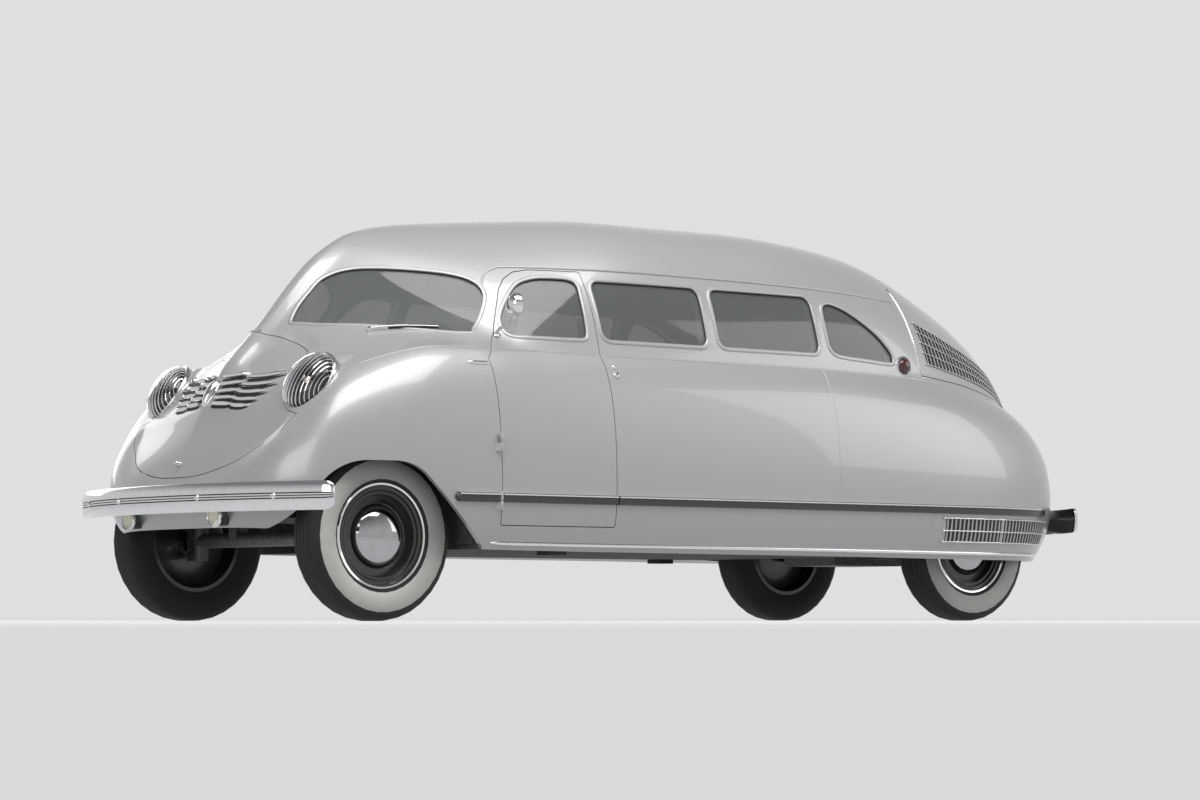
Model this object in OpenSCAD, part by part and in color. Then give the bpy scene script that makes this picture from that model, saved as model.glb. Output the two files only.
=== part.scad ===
// Streamlined rear-engined passenger van with a ridge nose and a fastback tail.
// Millimetres. +X is forward, +Y is the van's left, +Z is up, and Z 0 is the ground.

/* [Body] */
// Length over both bumpers
overall_length = 4966; // [4800:1:5100]
// Width of the body at its widest, without the bumpers
body_width = 1840; // [1800:1:1900]
// Height of the roof above the ground
roof_height = 1800; // [1760:1:1840]
// Thickness of the fenders, nose and tail
panel_thickness = 20; // [14:1:22]
// Thickness of the doors and cabin walls
door_thickness = 56; // [44:1:64]
// Gap around each door and lid
shut_gap = 8; // [6:1:10]
// Thickness of the flange at a door's rear edge
door_flange = 6; // [5:1:7]
// Width of the step behind that flange
door_rebate_depth = 46; // [40:1:54]

/* [Glass] */
// Thickness of every pane
glass_thickness = 6; // [4:1:8]
// Depth of the pane's outer face below the body's surface
glass_depth = 8; // [6:1:12]
// Corner radius of the side windows
window_radius = 45; // [35:1:50]
// Corner radius of the windscreen panes
windscreen_radius = 42; // [34:1:46]

/* [Wheels] */
// Distance between the axles as a share of the length
wheelbase_share = 0.6905; // [0.684:0.0005:0.695]
// Distance between the centres of the front tyres as a share of the body's width
front_track_share = 0.763; // [0.75:0.001:0.772]
// Clearance between the rear tyres and the skirts beside them
skirt_clearance = 7.5; // [6:0.5:20]
// Radius of the tyre's tread as a share of the length
tyre_radius_share = 0.0705; // [0.0688:0.0001:0.0716]
// Width of the tyre at its widest
tyre_width = 165; // [150:1:170]
// Radius of the rim as a share of the tyre's radius
rim_radius_share = 0.634; // [0.605:0.001:0.66]
// Radius of the wheel spindles
spindle_radius = 22; // [18:1:26]
// Radius of the kingpins
kingpin_radius = 14; // [11:1:16]
// Clearance of a shaft in its bore
running_clearance = 0.3; // [0.2:0.05:0.4]

/* [Floor] */
// Height of the floor's underside above the ground as a share of the roof's height
floor_height_share = 0.1667; // [0.1657:0.0002:0.1733]
// Thickness of the floor
floor_thickness = 40; // [30:1:48]
// Thickness of the front and rear bulkheads
bulkhead_thickness = 22; // [16:1:26]
// Width of each square jacking pad
jack_pad_width = 90; // [70:1:110]
// Height of each jacking pad below the floor
jack_pad_drop = 20; // [14:1:26]

/* [Running gear] */
// How far the gearbox block reaches behind the middle of the rear axle
transaxle_overhang = 56; // [46:1:66]
// Half the width of the gearbox block
transaxle_half_width = 180; // [160:1:200]
// Length of the engine block
engine_length = 430; // [390:1:450]
// Half the width of the engine block
engine_half_width = 300; // [260:1:320]
// Radius of the rear axle tubes
axle_radius = 38; // [32:1:44]
// Radius of the front axle beam
beam_radius = 32; // [28:1:34]
// Distance of each kingpin inside the middle of its tyre
kingpin_inset = 102; // [98:1:106]
// Height of the kingpin bosses
boss_height = 120; // [110:1:130]
// Thickness of the knuckle's ears
ear_thickness = 26; // [22:1:30]
// Thickness of the knuckle's web
web_thickness = 18; // [14:1:18]
// Clearance between the front axle beam and the nose well
well_clearance = 46; // [40:1:56]
// Width of the blocks between the front axle and the nose well
spring_width = 60; // [50:1:80]

/* [Hinges] */
// Radius of the hinge pins
hinge_pin_radius = 7; // [6:0.5:8]
// Radius of the hinge barrels
hinge_barrel_radius = 13; // [12:0.5:14]
// Length of each hinge block along the panel
hinge_length = 44; // [38:1:50]
// Depth of each hinge block into the panel
hinge_depth = 40; // [36:1:44]
// Height of each hinge block along the pin
hinge_height = 40; // [34:1:46]

/* [Trim] */
// Height of the bumper blades
bumper_height = 118; // [105:1:125]
// Thickness of the bumper blades
bumper_thickness = 24; // [20:1:28]
// Width of the front bumper over its ends
bumper_width = 1950; // [1900:1:1980]
// Height of the rub rail
rail_height = 46; // [38:1:52]
// How far the rub rail and other strips stand out
rail_depth = 14; // [10:1:16]
// Half the width of a headlamp opening
headlamp_half_width = 96; // [88:1:102]
// Half the height of a headlamp opening
headlamp_half_height = 132; // [122:1:138]
// Radius of the round lamps under the bumper
fog_lamp_radius = 50; // [44:1:54]
// Radius of the round tail lamps
tail_lamp_radius = 44; // [38:1:50]
// Radius of the door mirror
mirror_radius = 48; // [42:1:54]

/* [Inside] */
// Radius of the steering wheel
steering_wheel_radius = 205; // [190:1:212]
// Radius of the steering wheel's rim
steering_rim_radius = 13; // [10:1:15]
// Width of a front seat as a share of the body's width
seat_width_share = 0.2826; // [0.26:0.0002:0.3]
// Width of the rear sofa as a share of the body's width
sofa_width_share = 0.674; // [0.63:0.001:0.69]
// Depth of a front seat
seat_depth = 480; // [440:1:520]
// Depth of the rear sofa
sofa_depth = 560; // [500:1:600]
// Height of the seat cushions above the floor as a share of the roof's height
seat_height_share = 0.1944; // [0.18:0.0002:0.21]
// Thickness of a seat cushion
cushion_thickness = 130; // [110:1:150]
// Height of a backrest above its cushion as a share of the roof's height
backrest_height_share = 0.2667; // [0.245:0.0002:0.277]
// Thickness of a backrest
backrest_thickness = 110; // [90:1:130]
// Depth of the dashboard as a share of the length
dash_depth_share = 0.0191; // [0.016:0.0001:0.021]
// Height of the dashboard as a share of the roof's height
dash_height_share = 0.047; // [0.04:0.001:0.055]

/* [Hidden] */

half_width = body_width / 2;
tyre_radius = tyre_radius_share * overall_length;
rim_radius = rim_radius_share * tyre_radius;
// Distance that cuts run past what they cut
overrun = body_width;
round_facets = 48;
cut_facets = 16;
bar_facets = 8;

// Guide lines of the left half, from the nose's middle round the side to the tail's middle.
// Each row is one station: X as a share of the length, Y of the half width, Z of the height.
sill_shares = [
    [.4736, 0, .214], [.4732, .217, .214], [.4702, .424, .213], [.4611, .609, .210],
    [.4450, .750, .206], [.4188, .859, .194], [.3705, .924, .177], [.3021, .946, .167],
    [.2175, .951, .164], [.1208, .952, .163], [0, .952, .162], [-.1208, .950, .161],
    [-.2316, .943, .159], [-.3141, .924, .158], [-.3786, .821, .158], [-.4269, .609, .159],
    [-.4611, .326, .161], [-.4712, 0, .162]];
flank_shares = [
    [.4833, 0, .289], [.4831, .217, .290], [.4809, .413, .294], [.4722, .625, .300],
    [.4555, .774, .306], [.4279, .886, .308], [.3745, .971, .311], [.3021, .995, .311],
    [.2175, 1, .311], [.1208, 1, .311], [0, 1, .311], [-.1208, .998, .311],
    [-.2316, .991, .311], [-.3182, .957, .311], [-.3886, .861, .311], [-.4370, .696, .311],
    [-.4722, .402, .311], [-.4823, 0, .311]];
crease_shares = [
    [.4793, 0, .330], [.4776, .217, .337], [.4712, .391, .364], [.4511, .560, .428],
    [.4350, .625, .486], [.3997, .726, .575], [.3383, .832, .630], [.2708, .864, .635],
    [.2135, .870, .635], [.1208, .872, .634], [0, .872, .633], [-.1208, .861, .631],
    [-.2316, .810, .623], [-.3141, .728, .607], [-.3786, .609, .578], [-.4269, .435, .536],
    [-.4611, .217, .489], [-.4772, 0, .461]];
spine_shares = [
    [.4793, 0, .330], [.4766, 0, .358], [.4712, 0, .397], [.4601, 0, .458],
    [.4511, 0, .506], [.4289, 0, .596], [.3971, 0, .692], [.3403, 0, .866],
    [.2819, 0, .952], [.1289, 0, .994], [0, 0, 1], [-.1208, 0, .997],
    [-.2316, 0, .966], [-.3141, 0, .889], [-.3786, 0, .796], [-.4269, 0, .692],
    [-.4611, 0, .589], [-.4772, 0, .461]];
// Fullness of each station: roof side inward and up, roof top outward and up,
// shoulder up, shoulder outward and down, and share of the door's thickness.
fullness_shares = [
    [.33, .33, .33, .67, .40, .5, .50, 0], [.33, .40, .40, .90, .40, .5, .50, 0],
    [.33, .45, .40, .95, .40, .5, .40, 0], [.33, .50, .40, .98, .50, .6, .30, 0],
    [.33, .50, .35, .95, .55, .6, .25, 0], [.30, .40, .35, .80, .60, .6, .20, 0],
    [.30, .35, .35, .75, .60, .6, .15, 0], [.30, .33, .33, .72, .60, .6, .15, 0],
    [.16, .55, .42, .92, .60, .6, .15, 1], [.12, .80, .60, 1, .60, .6, .15, 1],
    [.12, .83, .60, 1, .60, .6, .15, 1], [.12, .79, .60, 1, .60, .6, .15, 1],
    [.13, .68, .56, 1, .60, .6, .15, 1], [.14, .54, .55, 1, .60, .6, .15, 0],
    [.15, .50, .55, 1, .60, .6, .15, 0], [.18, .48, .55, 1, .60, .6, .20, 0],
    [.25, .50, .50, 1, .60, .6, .30, 0], [.33, .33, .33, .67, .60, .6, .40, 0]];
last_row = len(sill_shares) - 1;
stations_per_row = 2;
stations = last_row * stations_per_row;
// Heights of the section's points: 0 the sill, flank_share the flank, 1 the crease, 2 the spine.
flank_share = 0.3;
level_shares = [0, .15, .3, .44, .58, .72, .86, 1, 1.12, 1.24, 1.36, 1.48, 1.6, 1.74, 1.88, 2];
crease_level = 7;
levels = len(level_shares) - 1;
full = 2 * levels;

function mirrored(p) = [p[0], -p[1], p[2]];
function guide_row(rows, i) =
    i < 0 ? mirrored(rows[-i]) : i > last_row ? mirrored(rows[2 * last_row - i]) : rows[i];
function fullness_row(i) = fullness_shares[max(0, min(last_row, i))];
function through(a, b, c, d, f) =
    (2 * b + (c - a) * f + (2 * a - 5 * b + 4 * c - d) * f * f + (3 * b - a - 3 * c + d) * f * f * f) / 2;
function place(shares) =
    [shares[0] * overall_length, shares[1] * half_width, shares[2] * roof_height];
function guide(rows, u) =
    let (i = min(floor(u), last_row - 1))
    place(through(guide_row(rows, i - 1), guide_row(rows, i), guide_row(rows, i + 1),
        guide_row(rows, i + 2), u - i));
function fullness(u) =
    let (i = min(floor(u), last_row - 1))
    through(fullness_row(i - 1), fullness_row(i), fullness_row(i + 1), fullness_row(i + 2), u - i);
function bezier(a, b, c, d, t) =
    let (s = 1 - t) s * s * s * a + 3 * s * s * t * b + 3 * s * t * t * c + t * t * t * d;
function between(a, b, flat, rise) =
    [a[0] + flat * (b[0] - a[0]), a[1] + flat * (b[1] - a[1]), a[2] + rise * (b[2] - a[2])];

// Point of the body's outer surface at row u and level v.
function body_point(u, v) =
    let (sill = guide(sill_shares, u), flank = guide(flank_shares, u))
    let (crease = guide(crease_shares, u), spine = guide(spine_shares, u), full_at = fullness(u))
    let (low = between(sill, flank, 1, .55))
    v < flank_share ? bezier(sill, between(sill, low, .55, .55), low, flank, v / flank_share) :
    v < 1 ? bezier(flank, between(flank, crease, 0, full_at[4]),
        between(crease, flank, full_at[5], full_at[6]), crease, (v - flank_share) / (1 - flank_share)) :
    bezier(crease, between(crease, spine, full_at[0], full_at[1]),
        [spine[0] + full_at[2] * (crease[0] - spine[0]), full_at[2] * crease[1],
            crease[2] + full_at[3] * (spine[2] - crease[2])], spine, v - 1);

outer_grid = [for (i = [0:stations]) [for (v = level_shares) body_point(i / stations_per_row, v)]];
function grid_point(i, j) =
    i < 0 ? mirrored(outer_grid[-i][j]) :
    i > stations ? mirrored(outer_grid[2 * stations - i][j]) :
    j > levels ? mirrored(outer_grid[i][2 * levels - j]) : outer_grid[i][max(j, 0)];
function unit(v) = v / norm(v);
function end_station(i) = i == 0 || i == stations;
function grid_normal(i, j) =
    let (top = end_station(i) ? min(j, crease_level) : j)
    let (across = grid_point(i + 1, top) - grid_point(i - 1, top))
    let (up = grid_point(i, top + (end_station(i) && top == crease_level ? 0 : 1)) - grid_point(i, top - 1))
    unit(cross(across, up));
normal_grid = [for (i = [0:stations]) [for (j = [0:levels]) grid_normal(i, j)]];
function wall_at(i) =
    panel_thickness + (door_thickness - panel_thickness) * max(0, min(1, fullness(i / stations_per_row)[7]));
function layer_half(i, j, raise, share) =
    outer_grid[i][j] + normal_grid[i][j] * (raise - share * wall_at(i));
function layer_point(i, j, raise, share) =
    j <= levels ? layer_half(i, j, raise, share) : mirrored(layer_half(i, full - j, raise, share));
function mesh_index(i, j) =
    i * (full + 1) + (end_station(i) ? min(j, full - j, crease_level) : j);
function whole(faces) = [for (f = faces) if (f[0] != f[1] && f[1] != f[2] && f[2] != f[0]) f];

// Closed skin over the whole body between two depths below the outer surface.
// A depth is a length plus a share of the wall at that station.
module skin(outer_raise, outer_share, inner_raise, inner_share) {
    count = (stations + 1) * (full + 1);
    points = concat(
        [for (i = [0:stations]) for (j = [0:full]) layer_point(i, j, outer_raise, outer_share)],
        [for (i = [0:stations]) for (j = [0:full]) layer_point(i, j, inner_raise, inner_share)]);
    cells = [for (i = [0:stations - 1]) for (j = [0:full - 1])
        [mesh_index(i, j), mesh_index(i, j + 1), mesh_index(i + 1, j + 1), mesh_index(i + 1, j)]];
    outside = [for (c = cells) each [[c[0], c[1], c[2]], [c[0], c[2], c[3]]]];
    inside = [for (f = outside) [f[0] + count, f[2] + count, f[1] + count]];
    left_rim = [for (i = [0:stations - 1])
        let (a = mesh_index(i, 0), d = mesh_index(i + 1, 0))
        each [[a, d, d + count], [a, d + count, a + count]]];
    right_rim = [for (i = [0:stations - 1])
        let (b = mesh_index(i, full), c = mesh_index(i + 1, full))
        each [[c, b, b + count], [c, b + count, c + count]]];
    polyhedron(points, whole(concat(outside, inside, left_rim, right_rim)), convexity = 10);
}
module body_wall() { skin(0, 0, 0, 1); }
// Everything inside the body's surface, raised or sunk, and closed flat below.
module body_core(raise) {
    points = [for (i = [0:stations]) for (j = [0:full]) layer_point(i, j, raise, 0)];
    cells = [for (i = [0:stations - 1]) for (j = [0:full - 1])
        [mesh_index(i, j), mesh_index(i, j + 1), mesh_index(i + 1, j + 1), mesh_index(i + 1, j)]];
    outside = [for (c = cells) each [[c[0], c[1], c[2]], [c[0], c[2], c[3]]]];
    below = [for (i = [0:stations - 1])
        let (a = mesh_index(i, 0), b = mesh_index(i, full))
        let (c = mesh_index(i + 1, full), d = mesh_index(i + 1, 0))
        each [[a, d, c], [a, c, b]]];
    polyhedron(points, whole(concat(outside, below)), convexity = 10);
}

// Windows: centres of the corner arcs, X as a share of the length and Z of the height.
front_window_shares = [[.2235, .696], [.1960, .786], [.1710, .791], [.1715, .696]];
middle_window_shares = [[.1350, .694], [.1350, .782], [.0362, .782], [.0362, .694]];
rear_window_shares = [[.0030, .694], [.0030, .782], [-.0997, .782], [-.0997, .694]];
quarter_window_shares = [[-.1315, .690], [-.1315, .776], [-.1640, .770], [-.1890, .730], [-.2000, .688]];
quarter_radius_share = 0.7;
windscreen_shares = [[.3715, .158, .712], [.2676, .708, .699], [.2519, .615, .774], [.2555, .520, .814],
    [.3010, .297, .829], [.3286, .165, .819]];
windscreen_axis = unit([.571, .566, .594]);
window_inside_share = 0.45;

module both_sides() {
    children();
    mirror([0, 1, 0]) children();
}
module along(axis) {
    rotate([0, acos(axis[2]), atan2(axis[1], axis[0])]) children();
}
module window(shares, radius) {
    hull() for (s = shares)
        translate(place([s[0], window_inside_share, s[1]])) rotate([-90, 0, 0])
            cylinder(r = radius, h = half_width, $fn = cut_facets);
}
module front_window() { window(front_window_shares, window_radius); }
module middle_window() { window(middle_window_shares, window_radius); }
module rear_window() { window(rear_window_shares, window_radius); }
module quarter_window() { window(quarter_window_shares, window_radius * quarter_radius_share); }
module windscreen_pane() {
    hull() for (s = windscreen_shares)
        translate(place(s)) along(windscreen_axis)
            cylinder(r = windscreen_radius, h = half_width / 3, center = true, $fn = cut_facets);
}
module glazing() {
    both_sides() {
        front_window();
        middle_window();
        rear_window();
        quarter_window();
        windscreen_pane();
    }
}
module glazed_wall() {
    difference() {
        body_wall();
        glazing();
    }
}
module panes() {
    intersection() {
        skin(-glass_depth, 0, -glass_depth - glass_thickness, 0);
        glazing();
    }
}

// Outlines seen from the side, X as a share of the length and Z of the height.
driver_door_shares = [[.2751, .2205], [.2763, .611], [.2557, .675], [.2316, .800], [.2165, .840],
    [.1514, .840], [.1514, .2205]];
passenger_door_shares = [[.1526, .2205], [.1526, .840], [.0185, .840], [.0185, .2205]];
engine_lid_shares = [[-.2481, 1.2], [-.2481, .632], [-.3141, .6155], [-.3786, .588], [-.4269, .549],
    [-.4611, .515], [-.55, .500], [-.55, 1.2]];
engine_opening_shares = concat([[-.2, 1.2], [-.2, .632]], [for (s = engine_lid_shares) if (s[0] < -.25) s]);
front_region_shares = [[.2779, -.1], [.2779, .611], [.2573, .675], [.2332, .800], [.2181, .851],
    [.2181, 1.2], [.6, 1.2], [.6, -.1]];
cabin_top_share = 0.844;
tail_front_share = -0.2481;

// Turns an outline drawn in X and Z into a solid across the van.
module across_van(shares) {
    rotate([90, 0, 0]) linear_extrude(2 * overrun, center = true) side_outline(shares);
}
module side_outline(shares) {
    polygon([for (s = shares) [s[0] * overall_length, s[1] * roof_height]]);
}
module inset_across_van(shares, gap) {
    rotate([90, 0, 0]) linear_extrude(2 * overrun, center = true) offset(delta = -gap) side_outline(shares);
}
module left_half() {
    translate([-overrun * 2, 0, -overrun]) cube([overrun * 4, overrun, overrun * 3]);
}
module driver_opening() {
    intersection() {
        across_van(driver_door_shares);
        left_half();
    }
}
module passenger_opening() {
    intersection() {
        across_van(passenger_door_shares);
        mirror([0, 1, 0]) left_half();
    }
}

// Nose lid seen along its shut faces, from its hinge: Y as a share of the half width, and the
// distance below the hinge as a share of the height.
nose_lid_shares = [[0, -.4173], [.20, -.411], [.393, -.3834], [.52, -.335], [.612, -.2917], [.652, -.2384],
    [.566, -.2295], [.475, -.1762], [.455, -.120], [.42, -.070], [.326, -.029], [.18, -.0067]];
nose_lid_pitch = 32;
module nose_lid_solid(gap) {
    half = [for (s = nose_lid_shares) [s[0] * half_width, s[1] * roof_height]];
    other = [for (k = [len(half) - 1:-1:1]) [-half[k][0], half[k][1]]];
    translate(place(nose_hinge_shares)) rotate([0, -nose_lid_pitch, 0]) rotate([90, 0, 90])
        translate([0, 0, -overrun / 8]) linear_extrude(overrun)
            offset(delta = -gap) polygon(concat(half, other));
}

// Front wheel arches, swept back to the sill.
front_axle_share = 0.3775;
front_axle_x = front_axle_share * overall_length;
rear_axle_x = front_axle_x - wheelbase_share * overall_length;
front_track = front_track_share * body_width;
// Inner face of the skirts beside the rear tyres, as a share of the half width
rear_skirt_share = 0.826;
rear_track = 2 * (rear_skirt_share * half_width - panel_thickness - skirt_clearance) - tyre_width;
// Centres of the arch's arcs from the axle, X and Z as shares of the tyre's radius.
arch_shares = [[.37, 1.25], [.02, 1.25], [-1.21, .88], [-1.21, -.5], [1.20, 1], [1.20, -.5]];
arch_radius_shares = [.62, .62, .03, .03, .03, .03];
module wheel_arch() {
    hull() for (k = [0:len(arch_shares) - 1])
        translate([front_axle_x + arch_shares[k][0] * tyre_radius, half_width * window_inside_share,
            arch_shares[k][1] * tyre_radius])
            rotate([-90, 0, 0])
                cylinder(r = arch_radius_shares[k] * tyre_radius, h = half_width, $fn = cut_facets * 2);
}

// Headlamp nacelles: an oval face that looks forward and up, faired back into the fender.
headlamp_shares = [.4215, .603, .556];
headlamp_tail_shares = [.372, .700, .590];
headlamp_axis = unit([.885, -.06, .46]);
headlamp_rim = bumper_thickness * 0.6;
headlamp_depth = headlamp_half_width * 0.5;
nacelle_tail_radius = headlamp_half_width * 0.35;
module oval(width, height) {
    polygon([for (k = [0:round_facets - 1])
        [height * cos(k * 360 / round_facets), width * sin(k * 360 / round_facets)]]);
}
// Local frame of the left headlamp: +Z out of the lamp, +X down its face.
module at_headlamp() {
    translate(place(headlamp_shares)) along(headlamp_axis) children();
}
module nacelle() {
    hull() {
        at_headlamp() linear_extrude(2 * headlamp_rim, center = true)
            oval(headlamp_half_width + headlamp_rim, headlamp_half_height + headlamp_rim);
        translate(place(headlamp_tail_shares)) sphere(nacelle_tail_radius, $fn = cut_facets);
    }
}
module headlamp_well() {
    at_headlamp() translate([0, 0, -headlamp_depth]) linear_extrude(headlamp_depth * 2)
        oval(headlamp_half_width, headlamp_half_height);
}

// What is cut away in front of the headlamp's face.
module headlamp_mouth() {
    at_headlamp() linear_extrude(headlamp_half_height)
        oval(headlamp_half_width + headlamp_rim + running_clearance,
            headlamp_half_height + headlamp_rim + running_clearance);
}

// Places of the lamps, irons and hinges.
fog_lamp_shares = [.4855, .365, .232];
fog_lamp_length = fog_lamp_radius * 2;
tail_lamp_shares = [-.2217, .776, .654];
tail_lamp_length = tail_lamp_radius * 2;
iron_y_share = 0.33;
iron_height = bumper_height * 0.4;
iron_width = bumper_thickness * 2;
bumper_z_share = 0.2806;
bumper_z = bumper_z_share * roof_height;
iron_reach = bumper_height * 1.4;
module fog_lamp(clearance) {
    translate(place(fog_lamp_shares)) rotate([0, -90, 0])
        cylinder(r = fog_lamp_radius + clearance, h = fog_lamp_length, $fn = round_facets);
}
module tail_lamp(clearance) {
    translate(place(tail_lamp_shares)) rotate([-90, 0, 0])
        cylinder(r = tail_lamp_radius + clearance, h = tail_lamp_length, center = true, $fn = round_facets);
}
module front_iron() {
    translate([overall_length / 2 - bumper_thickness - iron_reach, iron_y_share * half_width - iron_width / 2,
        bumper_z - iron_height / 2]) cube([iron_reach, iron_width, iron_height]);
}
module rear_iron() {
    translate([-overall_length / 2 + bumper_thickness, iron_y_share * half_width - iron_width / 2,
        bumper_z - iron_height / 2]) cube([iron_reach, iron_width, iron_height]);
}

// Hinges. In the local frame the pin is along Z, the fixed block is on +X and the leaf on -X,
// and -Y goes into the body.
hinge_block = [hinge_length, hinge_depth, hinge_height];
hinge_offset = shut_gap * 2;
leaf_offset = shut_gap * 3;
module hinge_fixed_block() {
    translate([hinge_offset, -hinge_block[1], 0]) cube(hinge_block);
}
module hinge_leaf_block() {
    translate([-leaf_offset - hinge_block[0], -hinge_block[1], hinge_block[2] + running_clearance])
        cube(hinge_block);
}
module hinge_fixed_arm() {
    translate([0, -hinge_barrel_radius / 2, 0]) cube([hinge_offset, hinge_barrel_radius, hinge_block[2]]);
}
module hinge_leaf_arm() {
    translate([-leaf_offset, -hinge_barrel_radius / 2, hinge_block[2] + running_clearance])
        cube([leaf_offset, hinge_barrel_radius, hinge_block[2]]);
}
// Room that panels and rails leave around the barrels.
module hinge_room() {
    translate([0, 0, -hinge_block[2] / 2])
        cylinder(r = hinge_barrel_radius + shut_gap, h = hinge_block[2] * 3, $fn = cut_facets);
}
module hinge_fixed() {
    hinge_fixed_block();
    hinge_fixed_arm();
    cylinder(r = hinge_barrel_radius, h = hinge_block[2], $fn = round_facets);
    cylinder(r = hinge_pin_radius, h = hinge_block[2] * 2, $fn = round_facets);
}
module hinge_leaf() {
    hinge_leaf_block();
    difference() {
        union() {
            hinge_leaf_arm();
            translate([0, 0, hinge_block[2] + running_clearance])
                cylinder(r = hinge_barrel_radius, h = hinge_block[2], $fn = round_facets);
        }
        cylinder(r = hinge_pin_radius + running_clearance, h = 3 * hinge_block[2], $fn = round_facets);
    }
}
door_hinge_out = hinge_barrel_radius * 0.6;
door_hinge_z_shares = [.255, .390];
driver_hinge_x_share = 0.2771;
passenger_hinge_x_share = 0.1534;
module at_driver_hinges() {
    for (s = door_hinge_z_shares)
        translate([driver_hinge_x_share * overall_length, half_width + door_hinge_out, s * roof_height])
            children();
}
module at_passenger_hinges() {
    mirror([0, 1, 0]) for (s = door_hinge_z_shares)
        translate([passenger_hinge_x_share * overall_length, half_width + door_hinge_out, s * roof_height])
            children();
}
nose_hinge_shares = [.3996, 0, .686];
engine_hinge_shares = [-.2465, 0, .961];
nose_hinge_tilt = 44;
engine_hinge_tilt = -13;
// The nose lid's hinge pin lies across the van, with the fixed block behind it.
module at_nose_hinge() {
    translate(place(nose_hinge_shares)) translate([0, hinge_block[2], 0]) rotate([90, nose_hinge_tilt, 0])
        mirror([1, 0, 0]) children();
}
module at_engine_hinge() {
    translate(place(engine_hinge_shares)) translate([0, hinge_block[2], 0]) rotate([90, engine_hinge_tilt, 0])
        children();
}
module at_hinges() {
    at_driver_hinges() children();
    at_passenger_hinges() children();
    at_nose_hinge() children();
    at_engine_hinge() children();
}
module fixed_blocks() {
    at_hinges() {
        hinge_fixed_block();
        hinge_fixed_arm();
        hinge_room();
    }
}
module leaf_blocks() {
    at_hinges() {
        hinge_leaf_block();
        hinge_leaf_arm();
        hinge_room();
    }
}

// Floor, bulkheads and nose well.
floor_side_share = 0.924;
floor_front_share = 0.29;
floor_rear_share = -0.2330;
floor_front = floor_front_share * overall_length;
floor_rear = floor_rear_share * overall_length;
floor_height = floor_height_share * roof_height;
floor_top = floor_height + floor_thickness;
// Half outlines of the bulkheads, Y as a share of the half width and Z of the height.
front_bulkhead_shares = [[.968, .311], [.955, .445], [.920, .556], [.852, .628], [0, .640]];
rear_bulkhead_shares = [[.945, .311], [.925, .472], [.870, .556], [.780, .622],
    [.712, .739], [.610, .833], [.455, .896], [.220, .930], [0, .937]];
bulkhead_foot_share = 0.91;
module half_plate(shares) {
    foot = [bulkhead_foot_share * half_width, floor_height + floor_thickness / 2];
    half = concat([foot], [for (s = shares) [s[0] * half_width, s[1] * roof_height]]);
    other = [for (k = [len(half) - 1:-1:0]) [-half[k][0], half[k][1]]];
    rotate([90, 0, 90]) linear_extrude(bulkhead_thickness) polygon(concat(half, other));
}
module front_bulkhead() { translate([floor_front, 0, 0]) half_plate(front_bulkhead_shares); }
module rear_bulkhead() {
    translate([floor_rear - bulkhead_thickness, 0, 0]) half_plate(rear_bulkhead_shares);
}
module floor_plate() {
    tongue = bulkhead_thickness / 2;
    translate([floor_rear - tongue, -floor_side_share * half_width, floor_height])
        cube([floor_front - floor_rear + 2 * tongue, 2 * floor_side_share * half_width, floor_thickness]);
}
nose_well_front_share = 0.449;
nose_well_side_share = 0.456;
nose_well_top_share = 0.389;
nose_well_low = tyre_radius + beam_radius + well_clearance;
nose_well_back = floor_front + bulkhead_thickness / 2;
module nose_well() {
    length = nose_well_front_share * overall_length - nose_well_back;
    side = nose_well_side_share * half_width;
    tall = nose_well_top_share * roof_height - nose_well_low;
    translate([nose_well_back, -side, nose_well_low]) difference() {
        cube([length, 2 * side, tall]);
        translate([panel_thickness, panel_thickness, panel_thickness])
            cube([length - 2 * panel_thickness, 2 * (side - panel_thickness), tall]);
    }
}
jack_shares = [[.20, .84], [-.18, .84]];
module jacking_pads() {
    both_sides() for (s = jack_shares)
        translate([s[0] * overall_length - jack_pad_width / 2, s[1] * half_width - jack_pad_width / 2,
            floor_height - jack_pad_drop]) cube([jack_pad_width, jack_pad_width, jack_pad_drop]);
}
module floor_pan() {
    color("dimgray") {
        floor_plate();
        front_bulkhead();
        rear_bulkhead();
        nose_well();
        jacking_pads();
    }
}
// What the fixed panels make room for.
module seats_in_walls() {
    floor_plate();
    front_bulkhead();
    rear_bulkhead();
    jacking_pads();
    fixed_blocks();
    both_sides() {
        fog_lamp(running_clearance);
        tail_lamp(running_clearance);
        front_iron();
        rear_iron();
    }
}

// Body panels.
module front_body() {
    color("gainsboro") difference() {
        union() {
            intersection() {
                glazed_wall();
                across_van(front_region_shares);
            }
            both_sides() difference() {
                nacelle();
                body_core(-panel_thickness / 2);
            }
        }
        both_sides() {
            wheel_arch();
            headlamp_well();
            headlamp_mouth();
        }
        nose_lid_solid(0);
        seats_in_walls();
    }
}
module cabin_region(top) {
    difference() {
        translate([tail_front_share * overall_length, -overrun, top ? cabin_top_share * roof_height : 0])
            cube([overall_length, 2 * overrun, top ? overrun : cabin_top_share * roof_height]);
        across_van(front_region_shares);
    }
}
module left_side() {
    color("gainsboro") difference() {
        intersection() {
            glazed_wall();
            cabin_region(false);
            left_half();
        }
        driver_opening();
        seats_in_walls();
    }
}
module right_side() {
    color("gainsboro") difference() {
        intersection() {
            glazed_wall();
            cabin_region(false);
            mirror([0, 1, 0]) left_half();
        }
        passenger_opening();
        seats_in_walls();
    }
}
module roof() {
    color("gainsboro") difference() {
        intersection() {
            glazed_wall();
            cabin_region(true);
        }
        seats_in_walls();
    }
}
module tail_body() {
    color("gainsboro") difference() {
        intersection() {
            glazed_wall();
            translate([-overall_length, -overrun, 0])
                cube([overall_length * (1 + tail_front_share), 2 * overrun, overrun * 2]);
        }
        across_van(engine_opening_shares);
        seats_in_walls();
    }
}
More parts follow.
